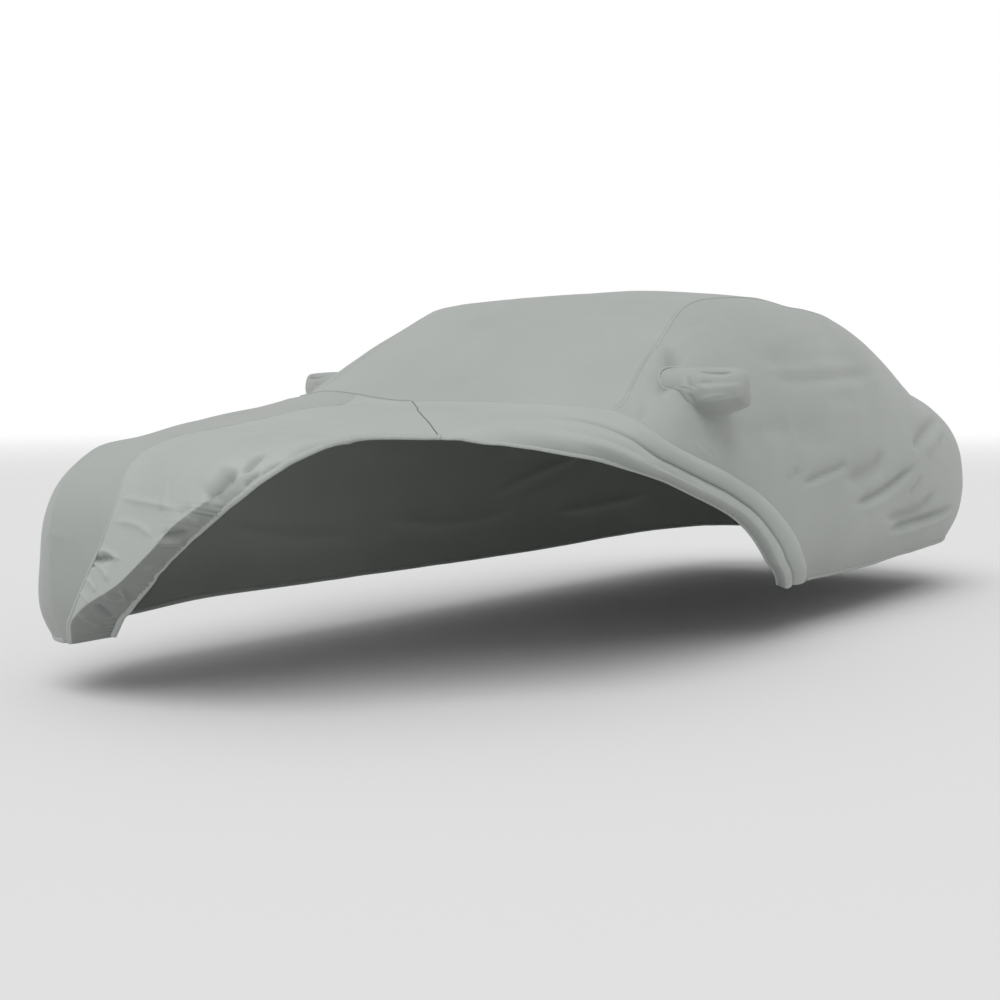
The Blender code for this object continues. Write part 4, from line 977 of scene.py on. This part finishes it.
# The fender's cloth is painted a tenth lighter, partly its own tone, partly painted light
fender_cloth = sheet_piece("fender_cloth", [fender_points], panel_cloth_tone_and_light("fender", 1.10),
                           painted_shade=fender_painted_shade)
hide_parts("fender_panel_left")
fender_hem = hem_piece("fender_hem", fender_points, fender_out[:, -1], 0.005, 31)

# ------------------------------------------------------------------------------------------
# Pockets: each a small bag of the same cloth, boxed off at its end and cut away below, sewn
# all round its mouth to the side cloth. The cloth behind the mouth is hidden and stays whole.
POCKET = np.array([
    # place mid_y  mid_z  half_y half_z lean  squareness front_low
    (0.00,  1.061, 1.040, 0.154, 0.095, 0.020, 2.4,      0.985),
    (0.35,  1.031, 1.045, 0.119, 0.085, 0.026, 3.0,      1.000),
    (0.65,  1.018, 1.051, 0.083, 0.078, 0.032, 3.4,      1.010),
    (0.90,  1.016, 1.057, 0.050, 0.069, 0.028, 3.4,      1.018),
    (1.00,  1.016, 1.060, 0.040, 0.066, 0.020, 3.2,      1.022),
])
POCKET_REACH = 1.092
POCKET_SEWN_IN, SEWN_IN_FADE = 0.014, 12
POCKET_CAP, CAP_ROUND = 0.14, 0.7       # the share of its reach over which its end rounds off
POCKET_STEPS, CAP_STEPS = 43, 22
POCKET_PAINTED_SHADE = 2.0           # its small folds get this many times a panel's painted shade in their creases
UNDERCUT, OUTSIDE = 0.85, 2.0
POCKET_FOLDS = (
    # name                x1     z1     x2     z2     x3     z3   height  width  crisp
    ("top crease",      0.90, 1.119,  0.98, 1.109,  1.07, 1.107, -0.0100, 0.008, 1.5),
    ("top rim",         0.88, 1.128,  0.98, 1.123,  1.07, 1.120,  0.0045, 0.008, 1.6),
    ("root wrinkle a",  0.88, 1.108,  0.90, 1.070,  0.92, 1.038, -0.0050, 0.010, 1.5),
    ("root wrinkle b",  0.87, 1.080, 0.885, 1.035, 0.905, 0.990,  0.0045, 0.010, 1.5),
    ("root wrinkle c",  0.90, 1.035, 0.915, 1.010,  0.93, 0.985, -0.0040, 0.009, 1.5),
    ("face wrinkle a", 0.935, 1.067, 0.965, 1.072, 0.985, 1.078, -0.0035, 0.009, 1.5),
    ("face wrinkle b", 0.945, 1.043, 0.960, 1.053, 0.975, 1.058,  0.0035, 0.009, 1.5),
    ("lower rim",       0.93, 1.003,  0.99, 1.022, 1.045, 1.030,  0.0025, 0.007, 1.6),
)
pocket_turn = np.linspace(0, 2 * np.pi, 161)


def pocket_ring(mid_y, mid_z, half_y, half_z, lean, squareness, front_low):
    power = 2 / squareness
    c, s = np.cos(pocket_turn), np.sin(pocket_turn)
    y = mid_y + half_y * np.sign(c) * np.abs(c) ** power
    z = mid_z + half_z * np.sign(s) * np.abs(s) ** power
    front = smooth((mid_y - y) / max(half_y, 1e-6) + 0.6)
    back = lean * np.clip((mid_z - z) / max(half_z, 1e-6), 0, 1)
    return y + back + UNDERCUT * front * np.maximum(front_low - z, 0), z


def pocket_piece(name, panel, cloth, sign, shift, seed):
    """A pocket whose mouth follows the side cloth that it is sewn into, with its seam."""
    tree = BVHTree.FromObject(panel, bpy.context.evaluated_depsgraph_get())
    rings = np.array([pocket_ring(*row[1:]) for row in POCKET])
    mouth, out = [], []
    for y, z in rings[0].T:
        start = Vector((sign * OUTSIDE, y + shift - HOLD[1], z - HOLD[2]))
        place, normal = tree.ray_cast(start, Vector((-sign, 0, 0)))[:2]
        mouth.append(abs(place.x))
        out.append(normal)
    mouth, out = np.array(mouth), np.array(out)
    rounding = np.linspace(0, np.pi / 2, CAP_STEPS)
    fine = np.concatenate([np.linspace(0, 1 - POCKET_CAP, POCKET_STEPS + 1)[:-1],
                           1 - POCKET_CAP + POCKET_CAP * np.sin(rounding)])
    shape = np.einsum("fp,pkt->fkt", spline_weights(POCKET[:, 0], fine), rings)
    cap = np.concatenate([np.ones(POCKET_STEPS), np.cos(rounding) ** CAP_ROUND])[:, None, None]
    middle = np.stack([np.full_like(fine, POCKET[-1, 1]), np.full_like(fine, POCKET[-1, 2])], 1)
    shape = middle[..., None] + (shape - middle[..., None]) * cap
    x = mouth + (POCKET_REACH - mouth) * fine[:, None]
    flat = np.stack([x, shape[:, 0] + shift, shape[:, 1]], -1)
    flat -= out * (sign, 1, 1) * POCKET_SEWN_IN * (1 - fine[:, None, None]) ** SEWN_IN_FADE
    points = folded(flat, POCKET_FOLDS, FRONT)
    # Painted shade in the pocket's creases
    painted_shade = POCKET_PAINTED_SHADE * fold_painted_shade(flat, points)
    points[..., 0] *= sign
    piece = sheet_piece(name, [points], cloth, on_right=sign > 0, merge=True, painted_shade=painted_shade)
    line = np.stack([sign * (mouth + 0.001), rings[0][0] + shift, rings[0][1]], -1)
    return piece, seam_piece(name + "_seam", line, out, seed)


bpy.context.view_layer.update()
pocket_left, left_root = pocket_piece("pocket_left", side_cloth_left, left_cloth, 1, 0.0, 32)
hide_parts("mirror_pocket_left")
pocket_right, right_root = pocket_piece("pocket_right", side_cloth_right, right_cloth, -1, 0.02, 33)
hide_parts("mirror_pocket_right")

# ------------------------------------------------------------------------------------------
# The studio: a plain pale floor at the ground under the cover, a white room whose light comes
# from all round, and one broad soft lamp, high in front and a little to the left.
GROUND = -HOLD[2]
FLOOR_SHADE, ROOM_LIGHT = 0.76, 0.57
FLOOR_FADES = 12, 45       # the floor fades into the white room between these distances
LAMP_FROM, LAMP_SPREAD, LAMP_STRENGTH = (0.25, -0.70, 1.00), 50, 1.66
bpy.ops.object.select_all(action="DESELECT")
bpy.ops.mesh.primitive_plane_add(size=400, location=(0, 0, GROUND))
floor = bpy.context.object
floor.name = "floor"
paint = bpy.data.materials.new("pale floor")
paint.use_nodes = True
paint_shader = paint.node_tree.nodes["Principled BSDF"]
paint_shader.inputs["Base Color"].default_value = (FLOOR_SHADE, FLOOR_SHADE, FLOOR_SHADE, 1)
paint_shader.inputs["Roughness"].default_value = 1.0
paint_shader.inputs["Specular IOR Level"].default_value = 0.0
floor_paint = paint.node_tree
floor_place = floor_paint.nodes.new("ShaderNodeTexCoord")
floor_reach = floor_paint.nodes.new("ShaderNodeVectorMath")
floor_reach.operation = "LENGTH"
link(floor_paint, floor_place, "Object", floor_reach, "Vector")
floor_fade = floor_paint.nodes.new("ShaderNodeMapRange")
floor_fade.interpolation_type = "SMOOTHSTEP"
floor_fade.inputs["From Min"].default_value = FLOOR_FADES[0]
floor_fade.inputs["From Max"].default_value = FLOOR_FADES[1]
link(floor_paint, floor_reach, "Value", floor_fade, "Value")
open_air = floor_paint.nodes.new("ShaderNodeBsdfTransparent")
floor_mix = floor_paint.nodes.new("ShaderNodeMixShader")
link(floor_paint, floor_fade, "Result", floor_mix, "Fac")
floor_paint.links.new(paint_shader.outputs[0], floor_mix.inputs[1])
floor_paint.links.new(open_air.outputs[0], floor_mix.inputs[2])
floor_paint.links.new(floor_mix.outputs[0], floor_paint.nodes["Material Output"].inputs["Surface"])
floor.data.materials.append(paint)

world = bpy.data.worlds.new("studio")
bpy.context.scene.world = world
world.use_nodes = True
room = world.node_tree
light = room.nodes["Background"]
light.inputs["Color"].default_value = (1, 1, 1, 1)
light.inputs["Strength"].default_value = ROOM_LIGHT
backdrop = room.nodes.new("ShaderNodeBackground")
backdrop.inputs["Color"].default_value = (1, 1, 1, 1)
seen = room.nodes.new("ShaderNodeLightPath")
either = room.nodes.new("ShaderNodeMixShader")
link(room, seen, "Is Camera Ray", either, "Fac")
room.links.new(light.outputs[0], either.inputs[1])
room.links.new(backdrop.outputs[0], either.inputs[2])
room.links.new(either.outputs[0], room.nodes["World Output"].inputs["Surface"])
lamp = bpy.data.lights.new("broad lamp", "SUN")
lamp.angle = math.radians(LAMP_SPREAD)
lamp.energy = LAMP_STRENGTH
holder = bpy.data.objects.new("broad lamp", lamp)
holder.location = Vector(LAMP_FROM) * 5
holder.rotation_euler = Vector(LAMP_FROM).to_track_quat("Z", "Y").to_euler()
bpy.context.scene.collection.objects.link(holder)

AZIMUTH, ELEVATION = 35.188, 3.659
camera = bpy.data.cameras.new("camera")
camera.lens = 55.75
camera.sensor_width = 36
camera.clip_end = 200
eye = bpy.data.objects.new("camera", camera)
eye.location = (3.65, -6.30, -0.495)
eye.rotation_euler = (math.radians(90 - ELEVATION), 0, math.radians(AZIMUTH))
bpy.context.scene.collection.objects.link(eye)
bpy.context.scene.camera = eye
bpy.context.scene.view_settings.view_transform = "Standard"
